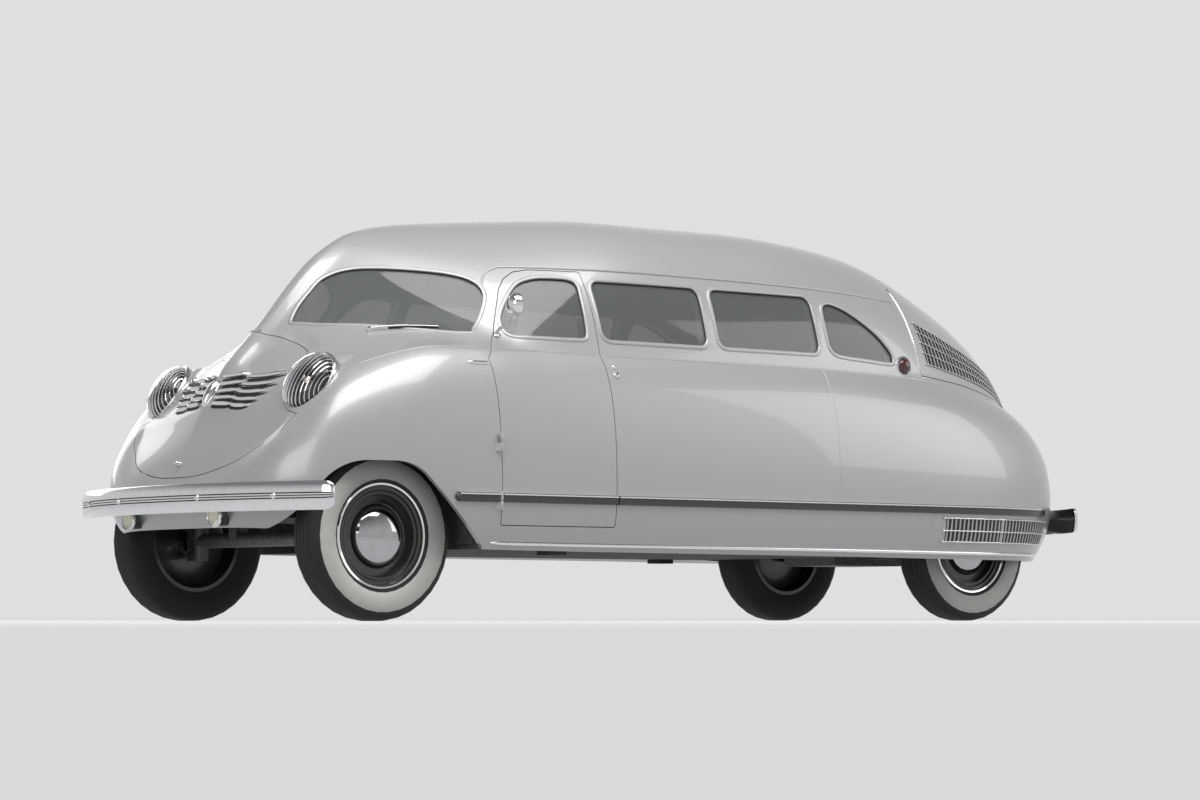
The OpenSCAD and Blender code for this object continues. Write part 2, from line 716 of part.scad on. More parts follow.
module nose_lid() {
    color("gainsboro") difference() {
        intersection() {
            glazed_wall();
            nose_lid_solid(shut_gap);
        }
        both_sides() nacelle_room();
        leaf_blocks();
    }
}
// Room that the lid leaves around a nacelle.
module nacelle_room() {
    minkowski() {
        nacelle();
        sphere(shut_gap, $fn = bar_facets);
    }
}
module engine_lid() {
    color("gainsboro") difference() {
        intersection() {
            glazed_wall();
            inset_across_van(engine_lid_shares, shut_gap);
        }
        leaf_blocks();
    }
}
// Room behind the thin flange at a door's rear edge, so that the door swings out past its jamb.
module door_rebate(shares) {
    rear = min([for (s = shares) s[0]]) * overall_length;
    intersection() {
        body_core(-door_flange);
        translate([rear - door_thickness, -overrun, 0])
            cube([door_thickness + door_rebate_depth, 2 * overrun, 2 * overrun]);
    }
}
module driver_door() {
    color("gainsboro") difference() {
        intersection() {
            glazed_wall();
            inset_across_van(driver_door_shares, shut_gap);
            left_half();
        }
        door_rebate(driver_door_shares);
        leaf_blocks();
        mirror_stalk(running_clearance);
    }
}
module passenger_door() {
    color("gainsboro") difference() {
        intersection() {
            glazed_wall();
            inset_across_van(passenger_door_shares, shut_gap);
            mirror([0, 1, 0]) left_half();
        }
        door_rebate(passenger_door_shares);
        leaf_blocks();
    }
}

// Glass.
module windscreen() {
    color("lightsteelblue", 0.4) intersection() {
        panes();
        both_sides() windscreen_pane();
    }
}
module side_windows() {
    color("lightsteelblue", 0.4) intersection() {
        panes();
        union() {
            mirror([0, 1, 0]) front_window();
            middle_window();
            both_sides() {
                rear_window();
                quarter_window();
            }
        }
    }
}
module driver_door_glass() {
    color("lightsteelblue", 0.4) intersection() {
        panes();
        front_window();
    }
}
module passenger_door_glass() {
    color("lightsteelblue", 0.4) intersection() {
        panes();
        mirror([0, 1, 0]) middle_window();
    }
}

// Strips and bars that follow the body's surface: chains of hulls through rows u at level v.
module chain(path) {
    for (k = [0:len(path) - 2]) hull() {
        translate(body_point(path[k][0], path[k][1])) children();
        translate(body_point(path[k + 1][0], path[k + 1][1])) children();
    }
}
module on_body() {
    difference() {
        children();
        body_wall();
    }
}
rail_rows_share = 0.26;
rail_first_row = 6.8;
rail_last_row = 14.3;
rail_step = 0.3125;
module rail_side() {
    chain([for (u = [rail_first_row:rail_step:rail_last_row]) [u, rail_rows_share]])
        cylinder(r = rail_depth, h = rail_height, center = true, $fn = bar_facets);
}
module rub_rails() {
    color("silver") difference() {
        on_body() both_sides() rail_side();
        driver_opening();
        passenger_opening();
        fixed_blocks();
    }
}
module driver_door_rail() {
    color("silver") difference() {
        intersection() {
            on_body() rail_side();
            inset_across_van(driver_door_shares, shut_gap);
        }
        leaf_blocks();
    }
}
module passenger_door_rail() {
    color("silver") difference() {
        intersection() {
            on_body() mirror([0, 1, 0]) rail_side();
            inset_across_van(passenger_door_shares, shut_gap);
        }
        leaf_blocks();
    }
}
sill_level_share = 0.03;
sill_first_row = 7.25;
sill_last_row = 14.8;
sill_step = 0.375;
sill_strip_depth = rail_depth * 0.6;
sill_strip_height = rail_height * 0.45;
module sill_strips() {
    color("silver") on_body() both_sides()
        chain([for (u = [sill_first_row:sill_step:sill_last_row]) [u, sill_level_share]])
            cylinder(r = sill_strip_depth, h = sill_strip_height, center = true, $fn = bar_facets);
}
vent_level_shares = [.09, .155, .215];
vent_first_row = 12.35;
vent_last_row = 14.35;
vent_step = 0.4;
vent_bar_height = rail_height * 0.3;
module corner_vents() {
    color("silver") on_body() both_sides() for (v = vent_level_shares)
        chain([for (u = [vent_first_row:vent_step:vent_last_row]) [u, v]])
            cylinder(r = sill_strip_depth, h = vent_bar_height, center = true, $fn = bar_facets);
}
// Nose bars: first and last row and level of each bar, inner tier then outer tier.
inner_bar_shares = [[4.75, 1.90, 4.85, 1.72], [4.55, 1.88, 4.62, 1.70], [4.36, 1.86, 4.40, 1.69],
    [4.17, 1.84, 4.19, 1.68], [3.98, 1.82, 3.98, 1.68]];
outer_bar_shares = [[4.72, 1.68, 4.90, 1.42], [4.53, 1.66, 4.66, 1.42], [4.34, 1.65, 4.44, 1.44],
    [4.15, 1.64, 4.22, 1.47], [3.96, 1.63, 4.00, 1.51]];
nose_bar_radius = rail_depth * 0.65;
badge_shares = [[4.62, 2], [4.3, 2], [3.92, 2]];
badge_radius_shares = [1.6, 2.2, .7];
module nose_bar(s) {
    chain([[s[0], s[1]], [(s[0] + s[2]) / 2, (s[1] + s[3]) / 2], [s[2], s[3]]])
        sphere(nose_bar_radius, $fn = bar_facets);
}
module nose_grille() {
    color("silver") on_body() {
        both_sides() {
            for (s = inner_bar_shares) nose_bar(s);
            for (s = outer_bar_shares) nose_bar(s);
        }
        for (k = [0:len(badge_shares) - 2]) hull() for (e = [k, k + 1])
            translate(body_point(badge_shares[e][0], badge_shares[e][1]))
                sphere(nose_bar_radius * badge_radius_shares[e], $fn = bar_facets);
    }
}
// Deck bars: levels of the long bars on each side of the spine.
deck_level_shares = [1.08, 1.13, 1.18, 1.23, 1.28];
deck_first_row = 12.35;
deck_last_row = 15.1;
deck_step = 0.55;
module deck_grille() {
    color("silver") on_body() both_sides() for (v = deck_level_shares)
        chain([for (u = [deck_first_row:deck_step:deck_last_row]) [u, v]])
            sphere(nose_bar_radius, $fn = bar_facets);
}

// Lamps.
headlamp_bar_count = 11;
headlamp_bar_width = headlamp_half_width * 0.06;
module lamps() {
    color("lightyellow") both_sides() {
        at_headlamp() translate([0, 0, -headlamp_depth]) linear_extrude(headlamp_depth)
            oval(headlamp_half_width, headlamp_half_height);
        fog_lamp(0);
        tail_lamp(0);
    }
}
module headlamp_grilles() {
    color("silver") both_sides() at_headlamp() linear_extrude(headlamp_rim) {
        difference() {
            oval(headlamp_half_width + headlamp_rim, headlamp_half_height + headlamp_rim);
            oval(headlamp_half_width, headlamp_half_height);
        }
        intersection() {
            oval(headlamp_half_width, headlamp_half_height);
            for (k = [1:headlamp_bar_count])
                translate([0, (2 * k / (headlamp_bar_count + 1) - 1) * headlamp_half_width])
                    square([3 * headlamp_half_height, headlamp_bar_width], center = true);
        }
    }
}

// Bumpers: blades bowed in plan, on two irons each.
bumper_steps = 7;
front_bow_share = 0.046;
rear_bow_share = 0.06;
rear_bumper_share = 0.82;
bow_power = 2.2;
end_height_share = 0.7;
module blade_post(y, reach, bow) {
    t = abs(y) / reach;
    tall = bumper_height * (1 - (1 - end_height_share) * pow(t, 6));
    translate([overall_length / 2 - bumper_thickness / 2 - bow * overall_length * pow(t, bow_power), y,
        bumper_z]) cylinder(d = bumper_thickness, h = tall, center = true, $fn = cut_facets);
}
module blade(reach, bow) {
    for (k = [-bumper_steps:bumper_steps - 1]) hull() {
        blade_post(reach * k / bumper_steps, reach, bow);
        blade_post(reach * (k + 1) / bumper_steps, reach, bow);
    }
}
module front_bumper() {
    color("silver") {
        blade((bumper_width - bumper_thickness) / 2, front_bow_share);
        both_sides() front_iron();
    }
}
module rear_bumper() {
    color("silver") {
        mirror([1, 0, 0]) blade(rear_bumper_share * bumper_width / 2, rear_bow_share);
        both_sides() rear_iron();
    }
}

// Hinges and mirror.
module hinge_pins() {
    color("dimgray") {
        at_driver_hinges() hinge_fixed();
        at_passenger_hinges() hinge_fixed();
        at_nose_hinge() hinge_fixed();
        at_engine_hinge() hinge_fixed();
    }
}
module driver_door_leaves() { color("dimgray") at_driver_hinges() hinge_leaf(); }
module passenger_door_leaves() { color("dimgray") at_passenger_hinges() hinge_leaf(); }
module nose_lid_leaf() { color("dimgray") at_nose_hinge() hinge_leaf(); }
module engine_lid_leaf() { color("dimgray") at_engine_hinge() hinge_leaf(); }
mirror_base_shares = [.2530, .84, .670];
mirror_head_shares = [.2535, .945, .738];
mirror_stalk_radius = mirror_radius * 0.17;
mirror_stalk_length = mirror_radius * 4;
mirror_elbow_radius = mirror_stalk_radius * 1.4;
module mirror_stalk(clearance) {
    translate(place(mirror_base_shares)) rotate([-90, 0, 0])
        cylinder(r = mirror_stalk_radius + clearance, h = mirror_stalk_length, center = true,
            $fn = round_facets);
}
module door_mirror() {
    base_end = place(mirror_base_shares) + [0, mirror_stalk_length / 2, 0];
    head = place(mirror_head_shares);
    color("silver") {
        mirror_stalk(0);
        translate(base_end) sphere(mirror_elbow_radius, $fn = round_facets);
        translate(base_end) along(unit(head - base_end))
            cylinder(r = mirror_stalk_radius, h = norm(head - base_end), $fn = round_facets);
        translate(head) rotate([0, 90, 0])
            cylinder(r = mirror_radius, h = mirror_stalk_radius * 2, center = true, $fn = round_facets);
    }
}

// Inside.
dash_z_share = 0.588;
dash_side_share = 0.78;
dash_height = dash_height_share * roof_height;
dash_depth = dash_depth_share * overall_length;
module dashboard() {
    color("gray") translate([floor_front - dash_depth - running_clearance / 2,
        -dash_side_share * half_width, dash_z_share * roof_height]) cube([dash_depth, 2 * dash_side_share * half_width, dash_height]);
}
driver_y_share = 0.435;
driver_y = driver_y_share * half_width;
steering_shares = [.2503, .435, .611];
steering_rake = 40;
column_radius = steering_rim_radius * 1.6;
steering_pin_radius = steering_rim_radius * 0.75;
steering_hub_radius = steering_rim_radius * 2.4;
steering_hub_length = steering_rim_radius * 3;
steering_bore_length = steering_hub_length * 1.6;
spoke_radius = steering_rim_radius * 0.6;
column_length = 2 * steering_wheel_radius;
// Local frame of the steering wheel: +Z along its shaft, towards the driver.
module at_steering() {
    translate(place(steering_shares)) rotate([0, steering_rake - 90, 0]) children();
}
module steering_column() {
    color("dimgray") difference() {
        at_steering() {
            translate([0, 0, -column_length - running_clearance]) cylinder(r = column_radius, h = column_length,
                $fn = round_facets);
            translate([0, 0, -column_length]) cylinder(r = steering_pin_radius,
                h = column_length + steering_hub_length / 2, $fn = round_facets);
        }
        translate([floor_front, -overrun, 0]) cube([overrun, 2 * overrun, overrun]);
    }
}
module steering_wheel() {
    color("black") at_steering() difference() {
        union() {
            translate([0, 0, steering_hub_length / 2]) rotate_extrude($fn = round_facets)
                translate([steering_wheel_radius - steering_rim_radius, 0])
                    circle(steering_rim_radius, $fn = cut_facets);
            cylinder(r = steering_hub_radius, h = steering_hub_length, $fn = round_facets);
            for (a = [90, 210, 330]) rotate([0, 0, a]) translate([0, 0, steering_hub_length / 2])
                rotate([0, 90, 0]) cylinder(r = spoke_radius,
                    h = steering_wheel_radius - steering_rim_radius, $fn = round_facets);
        }
        translate([0, 0, -steering_hub_length]) cylinder(r = steering_pin_radius + running_clearance,
            h = steering_bore_length, $fn = round_facets);
    }
}
seat_width = seat_width_share * body_width;
sofa_width = sofa_width_share * body_width;
seat_height = seat_height_share * roof_height;
backrest_height = backrest_height_share * roof_height;
seat_front_share = 0.205;
backrest_recline = 12;
pedestal_inset = seat_depth * 0.15;
sofa_back_thickness = backrest_thickness * 1.5;
module front_seat() {
    front = seat_front_share * overall_length;
    base = seat_height - cushion_thickness;
    translate([front - seat_depth, -seat_width / 2, floor_top]) {
        translate([pedestal_inset, pedestal_inset, 0])
            cube([seat_depth - 2 * pedestal_inset, seat_width - 2 * pedestal_inset, base]);
        translate([0, 0, base]) cube([seat_depth, seat_width, cushion_thickness]);
        translate([backrest_thickness, 0, base]) rotate([0, -backrest_recline, 0])
            translate([-backrest_thickness, 0, 0])
                cube([backrest_thickness, seat_width, cushion_thickness + backrest_height]);
    }
}
module front_seats() {
    color("saddlebrown") for (side = [-1, 1]) translate([0, side * driver_y, 0]) front_seat();
}
module rear_sofa() {
    color("saddlebrown") translate([floor_rear, -sofa_width / 2, floor_top]) {
        cube([sofa_depth, sofa_width, seat_height]);
        cube([sofa_back_thickness, sofa_width, seat_height + backrest_height]);
    }
}

// Running gear.
// Lower and upper faces of the blocks as shares of the height.
transaxle_z_shares = [.146, .292];
engine_z_shares = [.2333, .5542];
transaxle_front = floor_rear - bulkhead_thickness;
transaxle_length = transaxle_front - rear_axle_x + transaxle_overhang;
module block(front, length, side, z_shares) {
    translate([front - length, -side, z_shares[0] * roof_height])
        cube([length, 2 * side, (z_shares[1] - z_shares[0]) * roof_height]);
}
module transaxle() {
    color("darkgray") block(transaxle_front, transaxle_length, transaxle_half_width, transaxle_z_shares);
}
module engine() {
    color("dimgray") block(transaxle_front - transaxle_length, engine_length, engine_half_width,
        engine_z_shares);
}
hub_half_length = tyre_width * 0.3;
spindle_reach = tyre_width * 0.13;
hub_back = tyre_width * 0.24;
module rear_axle() {
    color("dimgray") both_sides() translate([rear_axle_x, 0, tyre_radius]) rotate([-90, 0, 0]) {
        translate([0, 0, transaxle_half_width]) cylinder(r = axle_radius,
            h = rear_track / 2 - hub_back - running_clearance - transaxle_half_width, $fn = round_facets);
        translate([0, 0, transaxle_half_width]) cylinder(r = spindle_radius,
            h = rear_track / 2 + spindle_reach - transaxle_half_width, $fn = round_facets);
    }
}
kingpin_y = front_track / 2 - kingpin_inset;
boss_radius = kingpin_radius * 2.4;
spring_y_share = 0.326;
spring_y = spring_y_share * half_width;
module front_axle() {
    color("dimgray") translate([front_axle_x, 0, tyre_radius]) {
        difference() {
            union() {
                rotate([90, 0, 0]) cylinder(r = beam_radius, h = 2 * kingpin_y, center = true, $fn = round_facets);
                both_sides() translate([0, kingpin_y, 0])
                    cylinder(r = boss_radius, h = boss_height, center = true, $fn = round_facets);
            }
            both_sides() translate([0, kingpin_y, 0]) cylinder(r = kingpin_radius + running_clearance,
                h = 2 * boss_height, center = true, $fn = round_facets);
        }
        both_sides() translate([-spring_width / 2, spring_y - spring_width / 2, 0])
            cube([spring_width, spring_width, nose_well_low - tyre_radius]);
    }
}
module knuckle() {
    reach = boss_radius + ear_thickness / 4;
    ear_low = boss_height / 2 + running_clearance;
    translate([front_axle_x, kingpin_y, tyre_radius]) {
        cylinder(r = kingpin_radius, h = boss_height + 2 * ear_thickness, center = true, $fn = round_facets);
        for (flip = [0, 1]) mirror([0, 0, flip]) translate([0, 0, ear_low]) {
            cylinder(r = boss_radius, h = ear_thickness, $fn = round_facets);
            translate([-boss_radius, 0, 0]) cube([2 * boss_radius, reach + web_thickness, ear_thickness]);
        }
        translate([-boss_radius, reach, -ear_low - ear_thickness])
            cube([2 * boss_radius, web_thickness, 2 * (ear_low + ear_thickness)]);
        translate([0, reach, 0]) rotate([-90, 0, 0])
            cylinder(r = spindle_radius, h = kingpin_inset - reach + spindle_reach, $fn = round_facets);
    }
}
module knuckle_left() { color("dimgray") knuckle(); }
module knuckle_right() { color("dimgray") mirror([0, 1, 0]) knuckle(); }
// Tyre and wheel turned about Z: radius as a share of the tyre or rim, then place along the axle
// as a share of the tyre's width, outward positive.
tyre_side_shares = [[0, .40], [.22, .47], [.49, .5], [.77, .46], [.94, .36], [1, .19]];
wheel_shares = [[.25, -.21], [.25, .03], [.63, .12], [.86, .05], [.92, -.40], [1, -.40], [1, .40],
    [.94, .40], [.90, .18], [.68, .23], [.47, .18], [.43, .31], [.27, .40], [0, .44]];
module tyre() {
    wall = tyre_radius - rim_radius;
    side = [for (s = tyre_side_shares) [rim_radius + s[0] * wall, s[1] * tyre_width]];
    other = [for (k = [len(side) - 1:-1:0]) [side[k][0], -side[k][1]]];
    rotate_extrude($fn = round_facets * 2) polygon(concat(side, other));
}
module wheel() {
    bore = spindle_radius + running_clearance;
    bore_end = spindle_reach + running_clearance;
    rotate_extrude($fn = round_facets * 2) polygon(concat(
        [for (s = wheel_shares) [s[0] * rim_radius, s[1] * tyre_width]],
        [[0, bore_end], [bore, bore_end], [bore, -hub_back]],
        [[wheel_shares[0][0] * rim_radius, -hub_back]]));
}
module at_wheel(x, track) {
    translate([x, track / 2, tyre_radius]) rotate([-90, 0, 0]) children();
}
module tyre_front_left() { color("black") at_wheel(front_axle_x, front_track) tyre(); }
module tyre_front_right() { color("black") mirror([0, 1, 0]) at_wheel(front_axle_x, front_track) tyre(); }
module tyre_rear_left() { color("black") at_wheel(rear_axle_x, rear_track) tyre(); }
module tyre_rear_right() { color("black") mirror([0, 1, 0]) at_wheel(rear_axle_x, rear_track) tyre(); }
module wheel_front_left() { color("silver") at_wheel(front_axle_x, front_track) wheel(); }
module wheel_front_right() { color("silver") mirror([0, 1, 0]) at_wheel(front_axle_x, front_track) wheel(); }
module wheel_rear_left() { color("silver") at_wheel(rear_axle_x, rear_track) wheel(); }
module wheel_rear_right() { color("silver") mirror([0, 1, 0]) at_wheel(rear_axle_x, rear_track) wheel(); }

floor_pan();
front_body();
left_side();
right_side();
roof();
tail_body();
nose_lid();
nose_grille();
nose_lid_leaf();
engine_lid();
deck_grille();
engine_lid_leaf();
driver_door();
driver_door_glass();
driver_door_leaves();
driver_door_rail();
door_mirror();
passenger_door();
passenger_door_glass();
passenger_door_leaves();
passenger_door_rail();
windscreen();
side_windows();
lamps();
headlamp_grilles();
front_bumper();
rear_bumper();
rub_rails();
sill_strips();
corner_vents();
hinge_pins();
dashboard();
steering_column();
steering_wheel();
front_seats();
rear_sofa();
engine();
transaxle();
front_axle();
rear_axle();
knuckle_left();
knuckle_right();
tyre_front_left();
tyre_front_right();
tyre_rear_left();
tyre_rear_right();
wheel_front_left();
wheel_front_right();
wheel_rear_left();
wheel_rear_right();
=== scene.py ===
import math

import bmesh
import bpy
import numpy as np
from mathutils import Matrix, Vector
from mathutils.kdtree import KDTree


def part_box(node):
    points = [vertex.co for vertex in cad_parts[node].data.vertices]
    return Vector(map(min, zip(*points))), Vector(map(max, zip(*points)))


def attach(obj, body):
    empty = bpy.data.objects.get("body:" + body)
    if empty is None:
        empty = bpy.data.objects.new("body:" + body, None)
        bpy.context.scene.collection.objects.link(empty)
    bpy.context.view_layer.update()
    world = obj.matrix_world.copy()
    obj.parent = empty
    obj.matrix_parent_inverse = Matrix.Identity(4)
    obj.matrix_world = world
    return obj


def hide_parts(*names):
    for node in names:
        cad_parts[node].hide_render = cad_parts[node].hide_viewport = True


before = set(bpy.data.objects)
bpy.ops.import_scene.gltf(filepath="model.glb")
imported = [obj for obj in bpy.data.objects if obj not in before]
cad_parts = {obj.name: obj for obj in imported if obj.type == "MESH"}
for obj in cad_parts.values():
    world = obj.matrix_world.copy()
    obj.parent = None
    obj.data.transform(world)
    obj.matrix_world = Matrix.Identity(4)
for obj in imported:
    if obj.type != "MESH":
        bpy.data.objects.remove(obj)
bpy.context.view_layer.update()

# Sizes in millimetres, as in the part's source
LENGTH, HALF, ROOF = 4966.0, 920.0, 1800.0
SCALE = np.array([LENGTH, HALF, ROOF])
PANEL, DOOR = 20.0, 56.0
GAP = 3.5
TYRE_R = .0705 * LENGTH
FRONT_X = .3775 * LENGTH
REAR_X = FRONT_X - .6905 * LENGTH
FRONT_Y, REAR_Y = .763 * HALF, 649.92
MM, METRE = .001, 1000
X, Y, Z = np.eye(3)
MIRROR = np.array([1, -1, 1])

SILL = np.array([
    [.4736, 0, .214], [.4732, .217, .214], [.4702, .424, .213], [.4611, .609, .210],
    [.4450, .750, .206], [.4188, .859, .194], [.3705, .924, .177], [.3021, .946, .167],
    [.2175, .951, .164], [.1208, .952, .163], [0, .952, .162], [-.1208, .950, .161],
    [-.2316, .943, .159], [-.3141, .924, .158], [-.3786, .821, .158], [-.4269, .609, .159],
    [-.4611, .326, .161], [-.4712, 0, .162]])
FLANK = np.array([
    [.4833, 0, .289], [.4831, .217, .290], [.4809, .413, .294], [.4722, .625, .300],
    [.4555, .774, .306], [.4279, .886, .308], [.3745, .971, .311], [.3021, .995, .311],
    [.2175, 1, .311], [.1208, 1, .311], [0, 1, .311], [-.1208, .998, .311],
    [-.2316, .991, .311], [-.3182, .957, .311], [-.3886, .861, .311], [-.4370, .696, .311],
    [-.4722, .402, .311], [-.4823, 0, .311]])
CREASE = np.array([
    [.4793, 0, .330], [.4776, .217, .337], [.4712, .391, .364], [.4511, .560, .428],
    [.4350, .625, .486], [.3997, .726, .575], [.3383, .832, .630], [.2708, .864, .635],
    [.2135, .870, .635], [.1208, .872, .634], [0, .872, .633], [-.1208, .861, .631],
    [-.2316, .810, .623], [-.3141, .728, .607], [-.3786, .609, .578], [-.4269, .435, .536],
    [-.4611, .217, .489], [-.4772, 0, .461]])
SPINE = np.array([
    [.4793, 0, .330], [.4766, 0, .358], [.4712, 0, .397], [.4601, 0, .458],
    [.4511, 0, .506], [.4289, 0, .596], [.3971, 0, .692], [.3403, 0, .866],
    [.2819, 0, .952], [.1289, 0, .994], [0, 0, 1], [-.1208, 0, .997],
    [-.2316, 0, .966], [-.3141, 0, .889], [-.3786, 0, .796], [-.4269, 0, .692],
    [-.4611, 0, .589], [-.4772, 0, .461]])
FULL = np.array([
    [.33, .33, .33, .67, .40, .5, .50, 0], [.33, .40, .40, .90, .40, .5, .50, 0],
    [.33, .45, .40, .95, .40, .5, .40, 0], [.33, .50, .40, .98, .50, .6, .30, 0],
    [.33, .50, .35, .95, .55, .6, .25, 0], [.30, .40, .35, .80, .60, .6, .20, 0],
    [.30, .35, .35, .75, .60, .6, .15, 0], [.30, .33, .33, .72, .60, .6, .15, 0],
    [.16, .55, .42, .92, .60, .6, .15, 1], [.12, .80, .60, 1, .60, .6, .15, 1],
    [.12, .83, .60, 1, .60, .6, .15, 1], [.12, .79, .60, 1, .60, .6, .15, 1],
    [.13, .68, .56, 1, .60, .6, .15, 1], [.14, .54, .55, 1, .60, .6, .15, 0],
    [.15, .50, .55, 1, .60, .6, .15, 0], [.18, .48, .55, 1, .60, .6, .20, 0],
    [.25, .50, .50, 1, .60, .6, .30, 0], [.33, .33, .33, .67, .60, .6, .40, 0]])
LAST = len(SILL) - 1


# Smooth curve from b to c at the share f, with a before and d after them
def through(a, b, c, d, f):
    return (2 * b + (c - a) * f + (2 * a - 5 * b + 4 * c - d) * f ** 2
            + (3 * b - a - 3 * c + d) * f ** 3) / 2


# Body surface: row u from nose to tail, level v from sill (0) over crease (1) to spine (2)
def rows_at(tab, u, mirrored):
    i = np.minimum(np.floor(u).astype(int), LAST - 1)

    def row(k):
        if not mirrored:
            return tab[np.clip(k, 0, LAST)]
        r = tab[np.where(k < 0, -k, np.where(k > LAST, 2 * LAST - k, k))].copy()
        r[(k < 0) | (k > LAST), 1] *= -1
        return r
    return through(row(i - 1), row(i), row(i + 1), row(i + 2), (u - i)[:, None])


def bezier(a, b, c, d, t):
    s = 1 - t
    return s ** 3 * a + 3 * s * s * t * b + 3 * s * t * t * c + t ** 3 * d


def mixed(a, b, flat, rise):
    return np.stack([a[:, 0] + flat * (b[:, 0] - a[:, 0]), a[:, 1] + flat * (b[:, 1] - a[:, 1]),
                     a[:, 2] + rise * (b[:, 2] - a[:, 2])], 1)


def smooth(x, lo, hi):
    t = np.clip((x - lo) / (hi - lo), 0, 1)
    return t * t * (3 - 2 * t)


def paired(u, v):
    both = np.broadcast_arrays(np.atleast_1d(u), np.atleast_1d(v))
    return [a.ravel().astype(float) for a in both]


def surf(u, v):
    u, v = paired(u, v)
    g0, g1, g2, g4 = [rows_at(t, u, True) * SCALE for t in (SILL, FLANK, CREASE, SPINE)]
    k = rows_at(FULL, u, False)
    low = mixed(g0, g1, 1, .55)
    p = bezier(g0, mixed(g0, low, .55, .55), low, g1, np.clip(v / .3, -1, 1)[:, None])
    t = ((v - .3) / .7)[:, None]
    q = bezier(g1, mixed(g1, g2, 0, k[:, 4]), mixed(g2, g1, k[:, 5], k[:, 6]), g2, t)
    top = np.stack([g4[:, 0] + k[:, 2] * (g2[:, 0] - g4[:, 0]), k[:, 2] * g2[:, 1],
                    g2[:, 2] + k[:, 3] * (g4[:, 2] - g2[:, 2])], 1)
    r = bezier(g2, mixed(g2, g4, k[:, 0], k[:, 1]), top, g4, (v - 1)[:, None])
    return np.where((v < .3)[:, None], p, np.where((v < 1)[:, None], q, r))


STEP_UV, END_U, END_V, RIDGE_V = .01, .02, .99, 1.995


def normals(u, v):
    u, v = paired(u, v)
    end = (u < END_U) | (u > LAST - END_U)
    w = np.where(end, np.minimum(v, END_V), v)
    du = surf(u + STEP_UV, w) - surf(u - STEP_UV, w)
    dv = surf(u, np.minimum(w + STEP_UV, 2)) - surf(u, np.maximum(w - STEP_UV, 0))
    n = np.cross(du, dv)
    n[v > RIDGE_V, 1] = 0
    return unit(n)


# Dished ovals beside the nose ridge, and the ridge itself
DISH_Y, DISH_Z, DISH_DEPTH, RIDGE_RISE = (205, 152), (1118, 94), 15, 13


def relief(p):
    x, y, z = p[:, 0], np.abs(p[:, 1]), p[:, 2]
    e = ((y - DISH_Y[0]) / DISH_Y[1]) ** 2 + ((z - DISH_Z[0]) / DISH_Z[1]) ** 2
    dish = -DISH_DEPTH * smooth(1 - e, 0, .27) * smooth(x, 1850, 1900)
    ridge = RIDGE_RISE * (1 - smooth(y, 22, 74)) * smooth(x, 1500, 1700)
    return dish + ridge * smooth(z, 990, 1080) * (1 - smooth(z, 1560, 1700))


def on_skin(u, v):
    p, n = surf(u, v), normals(u, v)
    return p + n * relief(p)[:, None], n


PROJ_SIDE, PROJ_FRONT = np.array([X, Z]), np.array([Y, Z])
GU, GV = [g.ravel() for g in np.meshgrid(np.arange(0, 17.01, .1), np.arange(0, 2.001, .04), indexing="ij")]
GRID = surf(GU, GV)
SEARCH_STEP, SEARCH_ROUNDS, MOST_U, MOST_V = .003, 14, .3, .15


# Rows and levels where the surface has the wanted two coordinates
def locate(targets, proj, rows):
    targets = np.asarray(targets, float)
    ok = np.nonzero((GU >= rows[0]) & (GU <= rows[1]))[0]
    flat = GRID[ok] @ proj.T
    near = ok[[int(np.argmin(((flat - t) ** 2).sum(1))) for t in targets]]
    u, v = GU[near], GV[near]
    h = SEARCH_STEP
    for _ in range(SEARCH_ROUNDS):
        f = surf(u, v) @ proj.T - targets
        a = (surf(u + h, v) - surf(u - h, v)) @ proj.T / (2 * h)
        b = (surf(u, np.minimum(v + h, 2)) - surf(u, np.maximum(v - h, 0))) @ proj.T / (2 * h)
        det = a[:, 0] * b[:, 1] - a[:, 1] * b[:, 0]
        det = np.where(np.abs(det) < 1e-6, 1e-6, det)
        su = -(f[:, 0] * b[:, 1] - f[:, 1] * b[:, 0]) / det
        sv = -(a[:, 0] * f[:, 1] - a[:, 1] * f[:, 0]) / det
        u = np.clip(u + np.clip(su, -MOST_U, MOST_U), rows[0], rows[1])
        v = np.clip(v + np.clip(sv, -MOST_V, MOST_V), 0, 2)
    return u, v


# Materials
def node(nt, kind, **inputs):
    n = nt.nodes.new("ShaderNode" + kind)
    for key, value in inputs.items():
        n.inputs[key.replace("_", " ")].default_value = value
    return n


def remap(nt, value, low, high):
    r = node(nt, "MapRange", To_Min=low, To_Max=high)
    nt.links.new(value, r.inputs["Value"])
    return r.outputs["Result"]


def ramp(nt, value, *stops):
    r = node(nt, "ValToRGB")
    for element, (position, color) in zip(r.color_ramp.elements, stops):
        element.position = position
        element.color = (*color, 1)
    nt.links.new(value, r.inputs["Fac"])
    return r.outputs["Color"]


def material(name, color, rough, vary, scale, bump=0., bump_scale=400., **more):
    m = bpy.data.materials.new(name)
    m.use_nodes = True
    nt = m.node_tree
    shader = nt.nodes["Principled BSDF"]
    shader.inputs["Coat Roughness"].default_value = .04
    for key, value in more.items():
        shader.inputs[key.replace("_", " ")].default_value = value
    place_in = node(nt, "TexCoord").outputs["Object"]

    def noise(size, detail):
        n = node(nt, "TexNoise", Scale=size, Detail=detail)
        nt.links.new(place_in, n.inputs["Vector"])
        return n.outputs["Fac"]
    grain = noise(scale, 4)
    dark, light = [np.clip(np.array(color) * (1 + s * vary), 0, 1) for s in (-1, 1)]
    nt.links.new(ramp(nt, grain, (.35, dark), (.65, light)), shader.inputs["Base Color"])
    nt.links.new(remap(nt, grain, max(.02, rough * .8), rough * 1.2), shader.inputs["Roughness"])
    if bump:
        n = node(nt, "Bump", Strength=bump, Distance=.002)
        nt.links.new(noise(bump_scale, 3), n.inputs["Height"])
        nt.links.new(n.outputs["Normal"], shader.inputs["Normal"])
    return m


